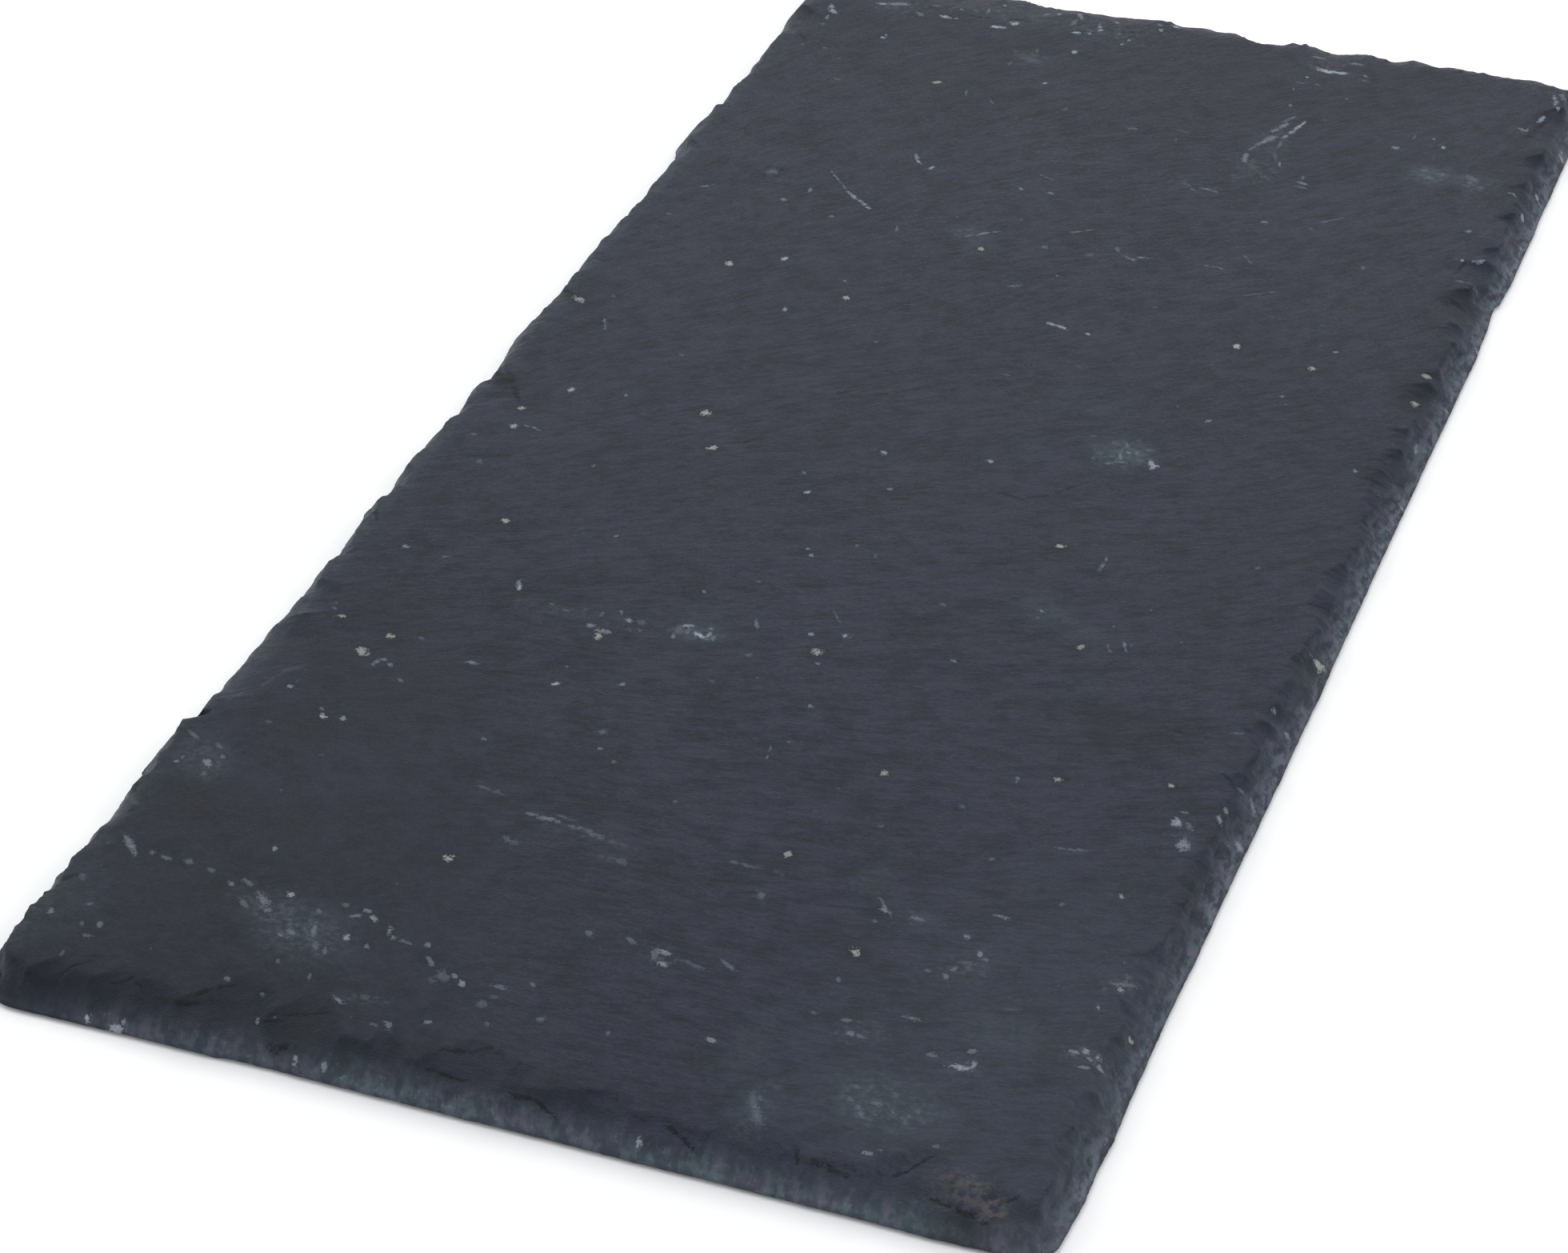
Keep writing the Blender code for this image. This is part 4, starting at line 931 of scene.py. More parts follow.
def grid_faces(ring_start, inner_start, columns, rows):
    """Upward quads of a rectangle whose border is a ring walked from its front left corner."""
    index = np.zeros((rows + 1, columns + 1), int)
    index[0, :columns] = ring_start + np.arange(columns)
    index[:rows, columns] = ring_start + columns + np.arange(rows)
    index[rows, columns:0:-1] = ring_start + columns + rows + np.arange(columns)
    index[rows:0:-1, 0] = ring_start + 2 * columns + rows + np.arange(rows)
    inner = inner_start + np.arange((rows - 1) * (columns - 1))
    index[1:rows, 1:columns] = inner.reshape(rows - 1, columns - 1)
    corners = (index[:-1, :-1], index[:-1, 1:], index[1:, 1:], index[1:, :-1])
    return np.stack([corner.ravel() for corner in corners], axis=1)


def grid_points(columns, rows):
    """Inner points of the band's inner rectangle, row by row, without its border."""
    x = (np.arange(1, columns) / columns * 2.0 - 1.0) * (HALF_WIDTH - BAND)
    y = (np.arange(1, rows) / rows * 2.0 - 1.0) * (HALF_LENGTH - BAND)
    across, along = np.meshgrid(x, y)
    return np.stack((across.ravel(), along.ravel()), axis=1)


class Shell:
    """Collects points and faces of one closed surface."""

    def __init__(self):
        self.points = []
        self.count = 0
        self.quads = []
        self.triangles = []

    def add(self, flat, height):
        """Take up points at a height, and give the number of the first."""
        start = self.count
        self.points.append(np.column_stack((flat, np.broadcast_to(height, len(flat)))))
        self.count += len(flat)
        return start

    def join(self, outer, inner, facing_up=True):
        """Faces between two rings, each given by its first point's number and its length."""
        quads, triangles = strip_faces(*outer, *inner)
        step = 1 if facing_up else -1
        self.quads.append(quads[:, ::step])
        self.triangles.append(triangles[:, ::step])


def lay_top(shell, rim, inner):
    """Rings over the steep face, the scar, the ledge and the rest of the band, thinning from
    four columns to one for each cell of the grid that fills the middle."""
    inside = side_distances(rim[:, 0], rim[:, 1])
    run, _, reach, _, _ = dressing(rim[:, 0], rim[:, 1], inside)
    insets = [np.zeros(len(rim))]
    insets += [run * share for share in STEEP_SHARES]
    insets += [run + (reach - run) * share for share in SCAR_SHARES]
    insets += [reach + LEDGE_WIDTH * share for share in LEDGE_SHARES]
    last = insets[-1]
    depth = np.abs(inner - rim).max(axis=1)
    insets += [last + (depth - last) * share for share in INNER_SHARES]
    steps = [1] * (len(insets) - len(INNER_SHARES)) + list(INNER_STEPS)
    previous = None
    first = None
    for inset, step in zip(insets, steps):
        flat = ring(rim, inner, inset)[::step]
        start = shell.add(flat, surface_height(flat[:, 0], flat[:, 1]))
        current = (start, len(flat))
        if previous:
            shell.join(previous, current)
        first = first or current
        previous = current
    flat = inner[::RIM_SPLIT]
    border = (shell.add(flat, surface_height(flat[:, 0], flat[:, 1])), len(flat))
    shell.join(previous, border)
    middle = grid_points(GRID_X, GRID_Y)
    start = shell.add(middle, surface_height(middle[:, 0], middle[:, 1]))
    shell.quads.append(grid_faces(border[0], start, GRID_X, GRID_Y))
    return first


def lay_underside(shell, rim, inner, top_rim):
    """The broken arris, then rings thinning over the flat underside to a coarser grid."""
    column = np.arange(float(len(rim)))
    chips = ARRIS_INSET * (1.0 + 0.6 * line_noise(column, ARRIS_COLUMNS, 95))
    previous = (shell.add(ring(rim, inner, chips), 0.0), len(rim))
    quads, _ = strip_faces(*previous, *top_rim)
    shell.quads.append(quads)
    for share, step in UNDERSIDE_RINGS:
        flat = ring(rim, inner, np.abs(inner - rim).max(axis=1) * share)[::step]
        current = (shell.add(flat, 0.0), len(flat))
        shell.join(previous, current, facing_up=False)
        previous = current
    middle = grid_points(GRID_X // 2, GRID_Y // 2)
    start = shell.add(middle, 0.0)
    shell.quads.append(grid_faces(previous[0], start, GRID_X // 2, GRID_Y // 2)[:, ::-1])


def put_mesh(name, points, quads, triangles):
    """A mesh from whole arrays of points, four-sided faces and triangles."""
    mesh = bpy.data.meshes.new(name)
    corners = np.concatenate((quads.ravel(), triangles.ravel())).astype(np.int32)
    sizes = np.concatenate((np.full(len(quads), 4), np.full(len(triangles), 3)))
    starts = np.concatenate(([0], np.cumsum(sizes)[:-1]))
    mesh.vertices.add(len(points))
    mesh.vertices.foreach_set("co", points.astype(np.float32).ravel())
    mesh.loops.add(len(corners))
    mesh.loops.foreach_set("vertex_index", corners)
    mesh.polygons.add(len(sizes))
    mesh.polygons.foreach_set("loop_start", starts.astype(np.int32))
    mesh.polygons.foreach_set("use_smooth", np.ones(len(sizes), bool))
    mesh.update(calc_edges=True)
    mesh.validate()
    return mesh, corners, sizes


def line_frame(x0, y0, x1, y1):
    """Middle, length and turn of a line."""
    middle = ((x0 + x1) / 2, (y0 + y1) / 2)
    return middle, math.hypot(x1 - x0, y1 - y0), math.atan2(y1 - y0, x1 - x0)


def scratch_dabs(draw, row, paleness):
    """A scratch as a line of short dabs, each a little off the line and as pale as it likes."""
    x0, y0, x1, y1, half_width = row
    _, length, turn = line_frame(x0, y0, x1, y1)
    count = max(1, round(length / DAB_SPACING))
    dabs = []
    for index in range(count):
        share = (index + 0.5 + draw.uniform(*SHIFT_ALONG)) / count
        aside = draw.uniform(*SHIFT_ASIDE) * half_width
        x = x0 + (x1 - x0) * share - math.sin(turn) * aside
        y = y0 + (y1 - y0) * share + math.cos(turn) * aside
        thickness = half_width * draw.uniform(*DAB_WIDTH)
        half_length = max(thickness, length / count * draw.uniform(*DAB_LENGTH))
        pale = paleness * draw.uniform(*DAB_PALENESS)
        lean = turn + draw.uniform(*DAB_LEAN)
        dabs.append((x, y, half_length, thickness, lean, pale, *SCRATCH_LOOK))
    return dabs


def mark_table():
    """Every mark as a row: middle, half length, half width, turn, how pale it is (below nought for
    a crack, which is darkened as painted shade), how warm, and how much it is broken up. Lengths in
    mm, the turn in radians."""
    draw = np.random.default_rng(17)
    rows = []
    for group, paleness, warmth, broken in SPECK_GROUPS:
        for x, y, radius in group:
            stretch = draw.uniform(*SPECK_STRETCH)
            turn = draw.uniform(0.0, math.pi)
            pale = paleness * draw.uniform(*SPECK_PALENESS)
            size = radius * SPECK_WIDER
            rows.append((x, y, size * stretch, size / stretch, turn, pale, warmth, broken))
    for group, paleness in SCRATCH_GROUPS:
        for row in group:
            rows += scratch_dabs(draw, row, paleness)
    for *ends, half_width, pale in DABS:
        if ends[1] > BRUISED_FROM:
            half_width *= BRUISED_WIDER
            pale *= BRUISED_PALER
        middle, length, turn = line_frame(*ends)
        half_length = length * SMEAR_LENGTH[0] + half_width * SMEAR_LENGTH[1]
        rows.append((*middle, half_length, half_width * SMEAR_WIDER, turn, pale, *SMEAR_LOOK))
    # Cracks and undercut ledges, darkened as painted shade
    for *ends, half_width in CRACK_SHADES:
        middle, length, turn = line_frame(*ends)
        size = (length * CRACK_LENGTH, half_width * CRACK_WIDER)
        rows.append((*middle, *size, turn, CRACK_SHADE_PALENESS, *CRACK_LOOK))
    return np.array(rows)


def own_frame(offset_x, offset_y, cosine, sine, half_x, half_y):
    """Places in a turned ellipse's own frame, counted in its half extents."""
    along = (offset_x * cosine + offset_y * sine) / half_x
    across = (offset_y * cosine - offset_x * sine) / half_y
    return along, across


def nearest_marks(flat, marks):
    """For each point, the nearest mark and the next, by the distance from each mark's edge."""
    chosen = np.zeros((2, len(flat)), int)
    least = np.full((2, len(flat)), np.inf, np.float32)
    for index, row in enumerate(marks):
        offset = flat - row[:2]
        along, across = own_frame(*offset.T, math.cos(row[4]), math.sin(row[4]), *row[2:4])
        distance = (np.hypot(along, across) - 1.0) * row[3]
        first = distance < least[0]
        second = ~first & (distance < least[1])
        least[1][first] = least[0][first]
        chosen[1][first] = chosen[0][first]
        least[0][first] = distance[first]
        chosen[0][first] = index
        least[1][second] = distance[second]
        chosen[1][second] = index
    return chosen


def mark_layers(points, corners, sizes):
    """Two layers, for the mark nearest to each face and for the next: the corners' places in
    the mark's own frame and half lengths, and the mark's look. Below, the place is far away."""
    marks = mark_table().astype(np.float32)
    flat = points[:, :2].astype(np.float32) / MM
    starts = np.concatenate(([0], np.cumsum(sizes)[:-1]))
    face_of_corner = np.repeat(np.arange(len(sizes)), sizes)
    centre = np.add.reduceat(flat[corners], starts, axis=0) / sizes[:, None]
    facing_up = np.minimum.reduceat(points[corners, 2], starts) > ABOVE_ARRIS
    layers = []
    for index in nearest_marks(centre, marks):
        chosen = marks[index[face_of_corner]]
        offset = flat[corners] - chosen[:, :2]
        turn = chosen[:, 4]
        local = own_frame(*offset.T, np.cos(turn), np.sin(turn), *chosen[:, 2:4].T)
        local = np.stack(local, axis=1)
        local[~facing_up[face_of_corner]] = FAR_AWAY
        layers.append((local, chosen[:, 5:8]))
    return layers


def stain_strength(x, y, stains):
    """Sum of soft ellipses: each falls as a bell whose exponent is the cube of the distance in
    its own half extents."""
    total = np.zeros_like(x)
    for place_x, place_y, half_x, half_y, turn, strength in stains:
        cosine, sine = math.cos(math.radians(turn)), math.sin(math.radians(turn))
        offset_x, offset_y = x / MM - place_x, y / MM - place_y
        along, across = own_frame(offset_x, offset_y, cosine, sine, half_x, half_y)
        total += strength * np.exp(-(along * along + across * across) ** 1.5)
    return np.clip(total, -1.0, 1.0)


def edge_layers(points):
    """Crushed, scar and ledge shares of each point, the ledge share being a line of painted shade,
    and its place along the side and down from the rim, both counted in that side's own mottling
    cells, with the share of the painted contact shadow at the foot."""
    x, y = points[:, 0], points[:, 1]
    inside = side_distances(x, y)
    depth = rim_distance(inside)
    run, _, reach, ledge_height, fade = dressing(x, y, inside)
    above = (points[:, 2] > ABOVE_ARRIS).astype(float)
    closest = np.minimum.reduce(list(inside.values()))
    along = np.zeros_like(x)
    down = np.zeros_like(x)
    share = np.ones_like(x)
    for name, side in SIDES.items():
        here = inside[name] <= closest
        place = y if name in ("left", "right") else x
        along = np.where(here, place / MM * side.cells_along, along)
        down = np.where(here, (depth + points[:, 2]) / MM * side.cells_down, down)
        share = np.where(here, side.crushed, share)
    on_face = np.clip(CRUSHED_AT_RIM - CRUSHED_LOSS * depth / (run * share), 0.0, 1.0)
    beyond = CRUSHED_BEYOND * np.clip(1.0 - (depth - run) / fade, 0.0, 1.0) ** FADE_POWER
    crushed = np.where(depth < run, on_face, beyond)
    crushed = crushed * (CRUSHED_MEAN + CRUSHED_SWING * line_noise(along, CELLS_IN_SWING, 96))
    worn = (1.0 - worn_share(x, y)) / WORN_SHARE
    crushed = np.clip(crushed * (1.0 - WEAR_LOSS * worn), 0.0, 1.0)
    # The scar's share: it weights the hackle's bump and the painted shade over the scars, most at
    # the front
    dark = SCAR_SHARE + (1.0 - SCAR_SHARE) * np.exp(-(inside["front"] / SCAR_REACH) ** 2)
    scar = (1.0 - smooth_step((depth - reach) / LEDGE_WIDTH)) * dark
    # A line of painted shade at the foot of the top ledge, darker where the ledge is taller
    line = np.exp(-((depth - reach) / LEDGE_SHADE_WIDTH) ** 2)
    line = line * np.clip(ledge_height / LEDGE_FOR_FULL_SHADE, 0.0, 1.0)
    zones = np.stack((crushed * above, scar * above, line * above), axis=1)
    # Painted contact shadow on the lowest part of the sides, next to the floor
    foot = CONTACT_SHADOW_DARKNESS * np.exp(-(points[:, 2] / CONTACT_SHADOW_HEIGHT) ** 2) * above
    return zones, np.stack((along, down, foot), axis=1)


def add_attribute(mesh, name, kind, domain, values):
    """One named attribute filled from a whole array."""
    layer = mesh.attributes.new(name, kind, domain)
    layer.data.foreach_set("vector", np.ascontiguousarray(values, np.float32).ravel())


class Graph:
    """Short calls that add and link a material's nodes."""

    def __init__(self, tree):
        self.tree = tree

    def node(self, kind, inputs=(), **settings):
        """A node with its settings, and its inputs set or linked."""
        made = self.tree.nodes.new(kind)
        for name, value in settings.items():
            setattr(made, name, value)
        for key, value in dict(inputs).items():
            self.put(made.inputs[key], value)
        return made

    def put(self, socket, value):
        """A value on a socket, or a link into it."""
        if isinstance(value, bpy.types.NodeSocket):
            self.tree.links.new(value, socket)
        elif isinstance(value, tuple) and len(value) == 3 and socket.type == "RGBA":
            socket.default_value = (*value, 1.0)
        else:
            socket.default_value = value

    def math(self, operation, first, second=0.0, third=0.0):
        made = self.node("ShaderNodeMath", {0: first, 1: second, 2: third}, operation=operation)
        return made.outputs[0]

    def times(self, first, second):
        return self.math("MULTIPLY", first, second)

    def weigh(self, *pairs):
        """Sum of values, each times its weight."""
        total = 0.0
        for value, weight in pairs:
            total = self.math("MULTIPLY_ADD", value, weight, total)
        return total

    def vector(self, operation, first, second=(0.0, 0.0, 0.0)):
        made = self.node("ShaderNodeVectorMath", {0: first}, operation=operation)
        self.put(made.inputs["Scale"] if operation == "SCALE" else made.inputs[1], second)
        return made.outputs["Value" if operation == "LENGTH" else "Vector"]

    def join(self, x, y, z=0.0):
        return self.node("ShaderNodeCombineXYZ", {0: x, 1: y, 2: z}).outputs[0]

    def split(self, vector):
        return self.node("ShaderNodeSeparateXYZ", {0: vector}).outputs

    def noise(self, vector, scale, detail=2.0, roughness=0.5):
        inputs = {"Vector": vector, "Scale": scale, "Detail": detail, "Roughness": roughness}
        return self.node("ShaderNodeTexNoise", inputs).outputs[0]

    def spread(self, value, low, high, to_low=0.0, to_high=1.0):
        """A smooth step from one value to another while the input goes from low to high."""
        inputs = {"Value": value, "From Min": low, "From Max": high}
        inputs.update({"To Min": to_low, "To Max": to_high})
        made = self.node("ShaderNodeMapRange", inputs, interpolation_type="SMOOTHSTEP")
        return made.outputs[0]

    def mix(self, share, first, second):
        """The first colour with a share of the second."""
        made = self.node("ShaderNodeMix", data_type="RGBA")
        for name, value in (("Factor", share), ("A", first), ("B", second)):
            kind = "VALUE" if name == "Factor" else "RGBA"
            socket = [s for s in made.inputs if s.name == name and s.type == kind][0]
            self.put(socket, value)
        return [s for s in made.outputs if s.type == "RGBA"][0]

    def attribute(self, name):
        return self.node("ShaderNodeAttribute", attribute_name=name).outputs["Vector"]


def cleft_grain(graph, place, turn, size, seed):
    """Noise drawn out along the grain to a width and a length. Where the grain's turn lies
    between two steps of the compass, the patterns laid at both steps are blended, so strands
    keep one width."""
    width, length = size
    whole = graph.math("FLOOR", turn)
    share = graph.spread(graph.math("SUBTRACT", turn, whole), 0.15, 0.85)
    patterns = []
    for step in (0.0, 1.0):
        index = graph.math("ADD", whole, step)
        angle = graph.times(index, -math.radians(GRAIN_STEP))
        turned = graph.node("ShaderNodeVectorRotate", {"Vector": place, "Angle": angle},
                            rotation_type="Z_AXIS").outputs[0]
        drawn = graph.vector("MULTIPLY", turned, (1.0 / length, 1.0 / width, 0.0))
        lift = graph.math("MULTIPLY_ADD", index, LIFT_BY_STEP, seed)
        drawn = graph.vector("ADD", drawn, graph.join(0.0, 0.0, lift))
        patterns.append(graph.noise(drawn, 1.0, 2.0, 0.55))
    low = graph.times(patterns[0], graph.math("SUBTRACT", 1.0, share))
    return graph.math("MULTIPLY_ADD", patterns[1], share, low)


def speck_dust(graph, place):
    """Round specks: one to a cell of a Voronoi pattern, each with its own size and strength."""
    least, most = DUST_SIZE
    made = graph.node("ShaderNodeTexVoronoi", {"Vector": place, "Scale": 1.0 / DUST_CELL})
    distance = graph.times(made.outputs["Distance"], DUST_CELL)
    red, green, _ = graph.split(made.outputs["Color"])
    size = graph.math("MULTIPLY_ADD", graph.math("POWER", red, 2.0), most - least, least)
    dust = graph.spread(graph.math("SUBTRACT", size, distance), -0.06, 0.08)
    return graph.times(dust, graph.spread(green, 0.45, 1.0))


def cleft_steps(graph, place, turn):
    """Small cleavage plates: the grain's noise cut into steps. Gives each point's height on its
    plate from 0 to 1, and how far it lies on the plate's lower lip, where shade is painted at the
    foot of the step."""
    noise = cleft_grain(graph, place, turn, PLATE_SIZE, 3.0)
    climb = graph.math("FRACT", graph.times(noise, PLATES_IN_NOISE))
    return climb, graph.spread(climb, LIP_SHARE, 0.0)


def ground_colour(graph, place, turn, plates, noises):
    """Stone away from the edges: plates with painted shade on their lower lips, slow mottling,
    olive and violet patches, grain. The grain loses its direction where calm falls to nought,
    towards the worn corner."""
    climb, lip, calm = plates
    crumb, broken, hue = noises
    mottle = graph.noise(place, MOTTLE_SCALE, 4.0, 0.62)
    strands = cleft_grain(graph, place, turn, STRAND_SIZE, 31.0)
    grain = graph.weigh((graph.math("SUBTRACT", climb, 0.5), PLATE_TONE),
                        (graph.math("SUBTRACT", strands, 0.5), STRAND_TONE))
    grain = graph.times(grain, graph.math("MULTIPLY_ADD", calm, 1.0 - LEAST_CALM, LEAST_CALM))
    tone = graph.weigh((grain, 1.0), (mottle, MOTTLE_TONE), (crumb, CRUMB_TONE),
                       (broken, BROKEN_TONE), (hue, HUE_TONE))
    colour = graph.mix(graph.spread(tone, DARK_TONE, LIGHT_TONE), SLATE_DARK, SLATE_LIGHT)
    for noise, low, high, most, tint in (
        (hue, 0.46, 0.26, 0.40, OLIVE),
        (hue, 0.54, 0.72, 0.35, VIOLET),
        (strands, 0.46, 0.30, 0.14, OLIVE),
    ):
        colour = graph.mix(graph.spread(noise, low, high, 0.0, most), colour, tint)
    # Painted shade on the plates' lower lips, in broken stretches
    gaps = graph.times(graph.spread(broken, 0.42, 0.60), calm)
    return graph.mix(graph.times(graph.times(lip, gaps), LIP_SHADE_DARKNESS), colour, SHADE_BLACK)


def edge_colour(graph, place, colour, zones, rim, noises):
    """Dressed edges: a crushed tone in soft teal and lilac blots that fades upwards, more even at
    the front, grit in it, painted shade over the scar, a broken line of painted shade where the top
    ledge starts and a painted contact shadow at the foot."""
    crumb, broken, hue = noises
    crushed, scar, ledge = zones
    # Painted shade over the scars, strongest near the front
    colour = graph.mix(graph.times(scar, SCAR_SHADE_DARKNESS), colour, SHADE_BLACK)
    blots = graph.noise(rim, 1.0, 3.0, 0.60)
    tint = graph.mix(graph.spread(hue, 0.44, 0.56), TEAL_STREAK, LILAC_STREAK)
    front = graph.spread(graph.split(place)[1], FRONT_FROM, FRONT_TO)
    least, most = [
        graph.math("MULTIPLY_ADD", front, at_front - at_side, at_side)
        for at_front, at_side in zip(FRONT_CRUSHED, SIDE_CRUSHED)
    ]
    light = graph.weigh((blots, 0.75), (broken, 0.25))
    light = graph.spread(light, 0.41, 0.60, least, most)
    colour = graph.mix(graph.times(light, crushed), colour, tint)
    grit = graph.weigh((broken, 0.5), (crumb, 0.5))
    grit = graph.times(graph.spread(grit, 0.57, 0.66), crushed)
    colour = graph.mix(graph.times(grit, GRIT_PALENESS), colour, PALE)
    # A broken line of painted shade where the top ledge starts
    ledge_shade = graph.times(ledge, graph.spread(broken, 0.48, 0.60))
    colour = graph.mix(graph.times(ledge_shade, LEDGE_SHADE_DARKNESS), colour, SHADE_BLACK)
    # Painted contact shadow at the foot, from the third value of the rim place
    return graph.mix(graph.split(rim)[2], colour, SHADE_BLACK)


def stained_colour(graph, place, colour, rust, noises):
    """Soft stains, powdery scuffs broken into blots and a few crumbs, and dust."""
    crumb, broken, _ = noises
    olive, teal, scuff = graph.split(graph.attribute("stains"))
    ragged = graph.spread(broken, 0.30, 0.62, 0.45, 1.0)
    grit = graph.weigh((broken, 0.80), (crumb, 0.20))
    blots = graph.times(graph.spread(grit, 0.44, 0.62), scuff)
    crumbs = graph.times(graph.spread(grit, 0.59, 0.68), scuff)
    bloom = graph.times(graph.spread(broken, 0.36, 0.64), rust)
    for strength, share, tint in (
        (olive, ragged, OLIVE),
        (teal, ragged, TEAL),
        (scuff, HAZE_STRENGTH, TEAL),
        (blots, BLOT_STRENGTH, CRUSHED),
        (crumbs, CRUMB_STRENGTH, PALE),
        (speck_dust(graph, place), DUST_STRENGTH, CRUSHED),
        (bloom, RUST_STRENGTH, RUST),
    ):
        colour = graph.mix(graph.times(strength, share), colour, tint)
    return colour


def mark_colour(graph, colour, layer, noises):
    """Flecks, specks, scratches and cracks: each a wobbling ellipse in its own frame, broken up by
    fine noise, a fleck with an olive halo, a crack darkened as painted shade."""
    crumb, blot, _ = noises
    local = graph.node("ShaderNodeUVMap", uv_map=layer).outputs[0]
    distance = graph.vector("LENGTH", local)
    pale, warm, broken = graph.split(graph.attribute(layer + "_look"))
    frayed = graph.weigh((distance, 1.0), (graph.math("SUBTRACT", crumb, 0.5), FRAY_BY_CRUMB),
                         (graph.math("SUBTRACT", blot, 0.5), FRAY_BY_BLOT))
    core = graph.spread(frayed, *CORE_FADE)
    holes = graph.times(graph.spread(crumb, 0.58, 0.42), broken)
    core = graph.times(core, graph.math("SUBTRACT", 1.0, holes))
    halo = graph.times(graph.spread(distance, HALO_REACH, 1.0), graph.spread(warm, 0.4, 0.7))
    colour = graph.mix(graph.times(halo, HALO_STRENGTH), colour, OLIVE)
    paleness = graph.times(core, graph.math("MAXIMUM", pale, 0.0))
    colour = graph.mix(paleness, colour, graph.mix(warm, PALE, WARM_PALE))
    # Cracks darken towards near black as painted shade
    crack_shade = graph.times(core, graph.math("MINIMUM", pale, 0.0))
    return graph.mix(graph.times(crack_shade, -CRACK_SHADE_STRENGTH), colour, SHADE_BLACK)


def slate_material():
    """Dull dark stone: colour as above, with small plates, grain and hackle as bump."""
    material = bpy.data.materials.new("cleft_slate")
    material.use_nodes = True
    graph = Graph(material.node_tree)
    shader = material.node_tree.nodes["Principled BSDF"]
    shader.inputs["Metallic"].default_value = 0.0
    shader.inputs["Specular IOR Level"].default_value = SHEEN
    metres = graph.node("ShaderNodeTexCoord").outputs["Object"]
    place = graph.vector("SCALE", metres, 1.0 / MM)
    turn, rust, shade = graph.split(graph.attribute("grain"))
    zones = graph.split(graph.attribute("edge_zones"))
    rim = graph.attribute("rim_place")
    crumb = graph.noise(place, CRUMB_SCALE, 2.0, 0.6)
    broken = graph.noise(place, BROKEN_SCALE, 2.0, 0.6)
    noises = (crumb, broken, graph.noise(place, HUE_SCALE, 1.0))
    climb, lip = cleft_steps(graph, place, turn)
    calm = graph.spread(shade, 0.30, 0.10)
    colour = ground_colour(graph, place, turn, (climb, lip, calm), noises)
    # The broad shades darken the colour towards near black, and where below nought lighten it
    # towards the crushed tone
    colour = graph.mix(graph.math("MAXIMUM", shade, 0.0), colour, SHADE_BLACK)
    lightened = graph.times(graph.math("MINIMUM", shade, 0.0), -1.0)
    colour = graph.mix(lightened, colour, CRUSHED)
    colour = edge_colour(graph, place, colour, zones, rim, noises)
    colour = stained_colour(graph, place, colour, rust, noises)
    for layer in MARK_LAYERS:
        colour = mark_colour(graph, colour, layer, noises)
    graph.put(shader.inputs["Base Color"], colour)
    graph.put(shader.inputs["Roughness"], graph.spread(crumb, 0.25, 0.75, *ROUGHNESS))
    height = graph.weigh((graph.times(climb, calm), PLATE_BUMP), (crumb, CRUMB_BUMP),
                         (broken, BLOT_BUMP), (graph.times(crumb, zones[1]), HACKLE_BUMP))
    bump = graph.node("ShaderNodeBump", {"Height": height, "Distance": MM, "Strength": 1.0})
    graph.put(shader.inputs["Normal"], bump.outputs[0])
    return material


def slate_piece():
    """The whole slate as one closed surface, with its marks, stains and edge zones."""
    rim, inner = rim_columns(GRID_X * RIM_SPLIT, GRID_Y * RIM_SPLIT)
    shell = Shell()
    top_rim = lay_top(shell, rim, inner)
    lay_underside(shell, rim, inner, top_rim)
    points = np.concatenate(shell.points)
    quads = np.concatenate(shell.quads)
    triangles = np.concatenate(shell.triangles)
    mesh, corners, sizes = put_mesh("slate_surface", points, quads, triangles)
    for name, (local, look) in zip(MARK_LAYERS, mark_layers(points, corners, sizes)):
        layer = mesh.uv_layers.new(name=name)
        layer.data.foreach_set("uv", np.ascontiguousarray(local, np.float32).ravel())
        add_attribute(mesh, name + "_look", "FLOAT_VECTOR", "CORNER", look)
    x, y = points[:, 0], points[:, 1]
    above = (points[:, 2] > ABOVE_ARRIS)[:, None]
    stains = [stain_strength(x, y, rows) for rows in (OLIVE_STAINS, TEAL_STAINS, SCUFFS)]
    add_attribute(mesh, "stains", "FLOAT_VECTOR", "POINT", np.stack(stains, axis=1) * above)
    rust = stain_strength(x, y, RUST_STAINS) * above[:, 0]
    shade = stain_strength(x, y, SHADES) * above[:, 0]
    grain = np.stack((grain_turn(x, y) / GRAIN_STEP, rust, shade), axis=1)
    add_attribute(mesh, "grain", "FLOAT_VECTOR", "POINT", grain)
    zones, places = edge_layers(points)
    add_attribute(mesh, "edge_zones", "FLOAT_VECTOR", "POINT", zones)
    add_attribute(mesh, "rim_place", "FLOAT_VECTOR", "POINT", places)
    mesh.materials.append(slate_material())
    piece = bpy.data.objects.new("slate_surface", mesh)
    bpy.context.scene.collection.objects.link(piece)
    return piece


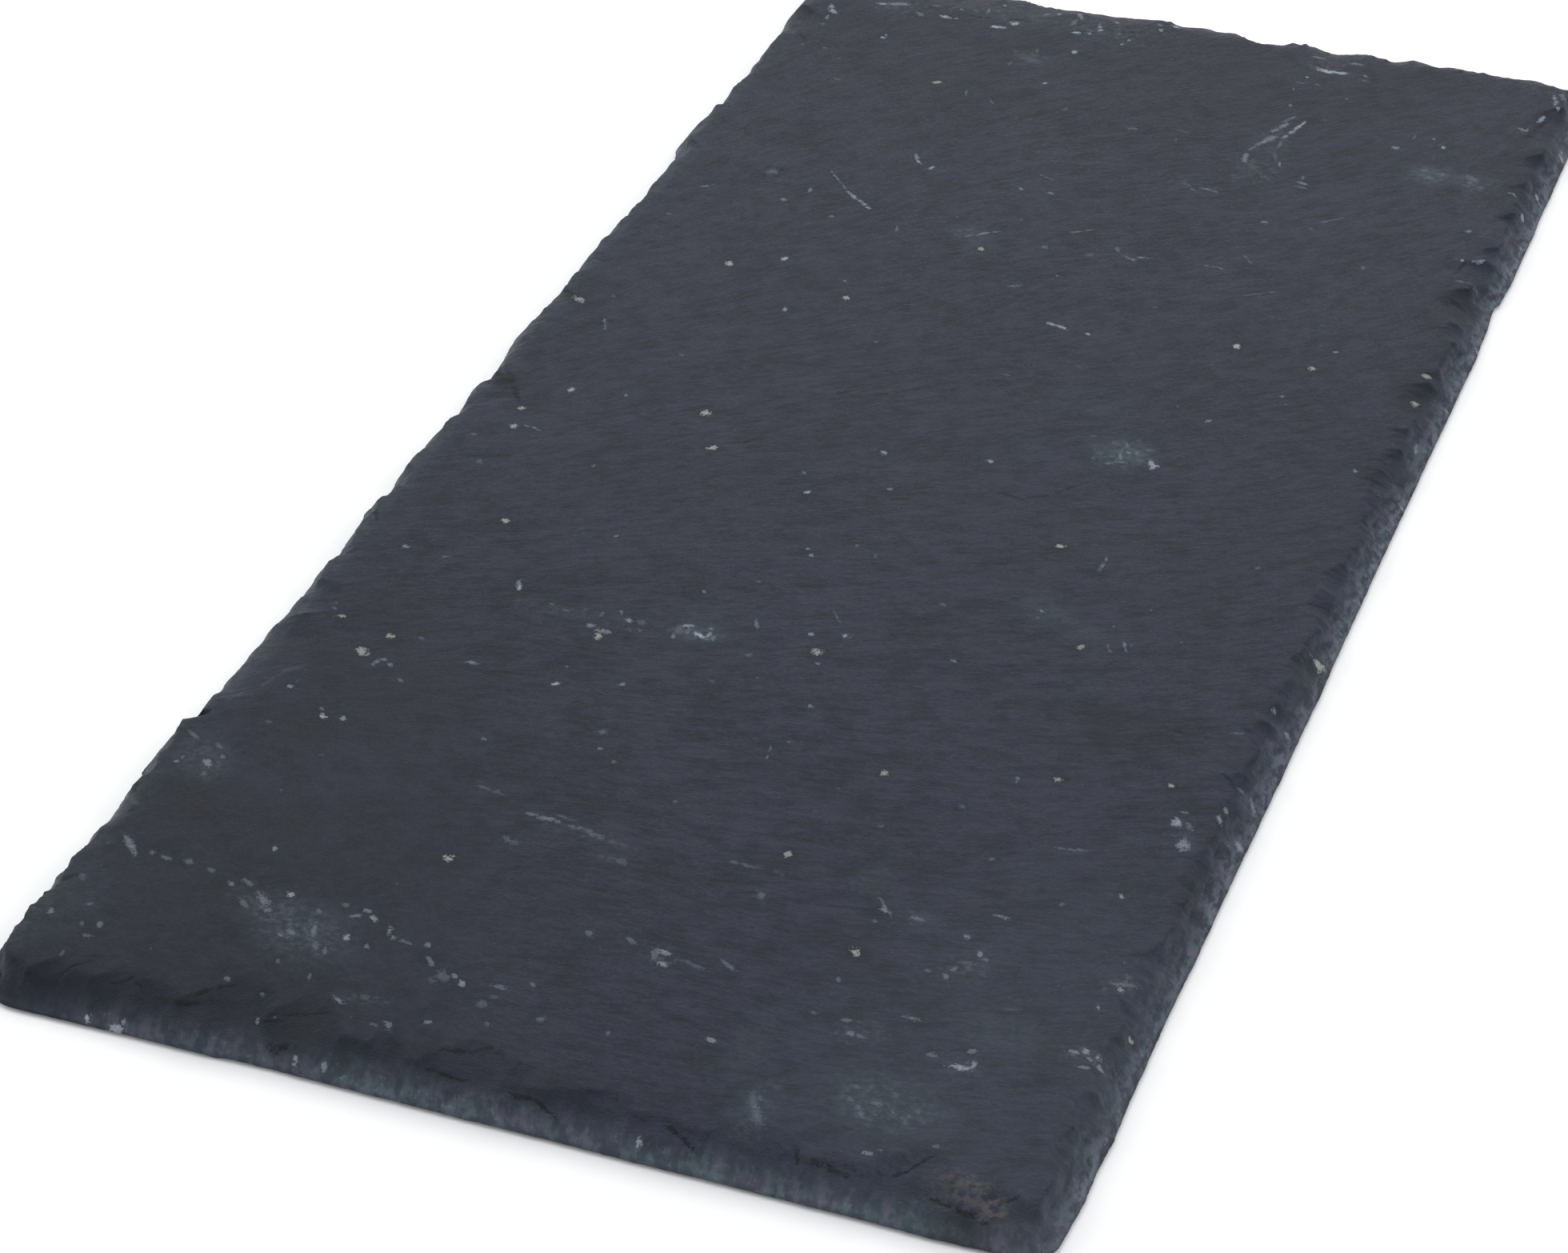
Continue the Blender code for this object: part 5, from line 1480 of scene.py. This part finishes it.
def add_floor():
    """Plain pale floor just under the resting face."""
    mesh = bpy.data.meshes.new("floor")
    signs = ((-1, -1), (1, -1), (1, 1), (-1, 1))
    corners = [(x * FLOOR_HALF, y * FLOOR_HALF, FLOOR_LEVEL) for x, y in signs]
    mesh.from_pydata(corners, [], [(0, 1, 2, 3)])
    floor = bpy.data.objects.new("floor", mesh)
    bpy.context.scene.collection.objects.link(floor)
    material = bpy.data.materials.new("pale_floor")
    material.use_nodes = True
    shader = material.node_tree.nodes["Principled BSDF"]
    shader.inputs["Base Color"].default_value = (*FLOOR_COLOUR, 1.0)
    shader.inputs["Roughness"].default_value = FLOOR_ROUGHNESS
    shader.inputs["Specular IOR Level"].default_value = FLOOR_SHEEN
    mesh.materials.append(material)


def add_softbox(name, place, size, power):
    """A large rectangular light at a place, turned to the tile."""
    light = bpy.data.lights.new(name, "AREA")
    light.shape = "RECTANGLE"
    light.size, light.size_y = size
    light.energy = power
    lamp = bpy.data.objects.new(name, light)
    direction = -np.array(place)
    yaw = math.atan2(direction[0], -direction[1])
    pitch = math.atan2(math.hypot(direction[0], direction[1]), -direction[2])
    lamp.location = place
    lamp.rotation_euler = (pitch, 0.0, yaw + math.pi)
    bpy.context.scene.collection.objects.link(lamp)


def add_lights():
    """Soft studio light: a pale surround and large softboxes behind, above and to the sides."""
    world = bpy.data.worlds.new("studio")
    world.use_nodes = True
    background = world.node_tree.nodes["Background"]
    background.inputs["Color"].default_value = (*SURROUND_COLOUR, 1.0)
    background.inputs["Strength"].default_value = SURROUND_STRENGTH
    bpy.context.scene.world = world
    for softbox in SOFTBOXES:
        add_softbox(*softbox)


def add_camera():
    """Camera at the photograph's place and angle."""
    camera = bpy.data.cameras.new("camera")
    camera.sensor_fit = "HORIZONTAL"
    camera.sensor_width = SENSOR_WIDTH
    camera.lens = CAMERA_LENS
    camera.clip_start, camera.clip_end = CLIP_RANGE
    viewer = bpy.data.objects.new("camera", camera)
    viewer.location = CAMERA_PLACE
    viewer.rotation_euler = (math.radians(90.0 - CAMERA_PITCH), 0.0, math.radians(CAMERA_YAW))
    bpy.context.scene.collection.objects.link(viewer)
    bpy.context.scene.camera = viewer


add_camera()
add_lights()
add_floor()
bpy.context.scene.view_settings.view_transform = "Standard"
slate = slate_piece()
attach(slate, "root")
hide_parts("slate_tile")
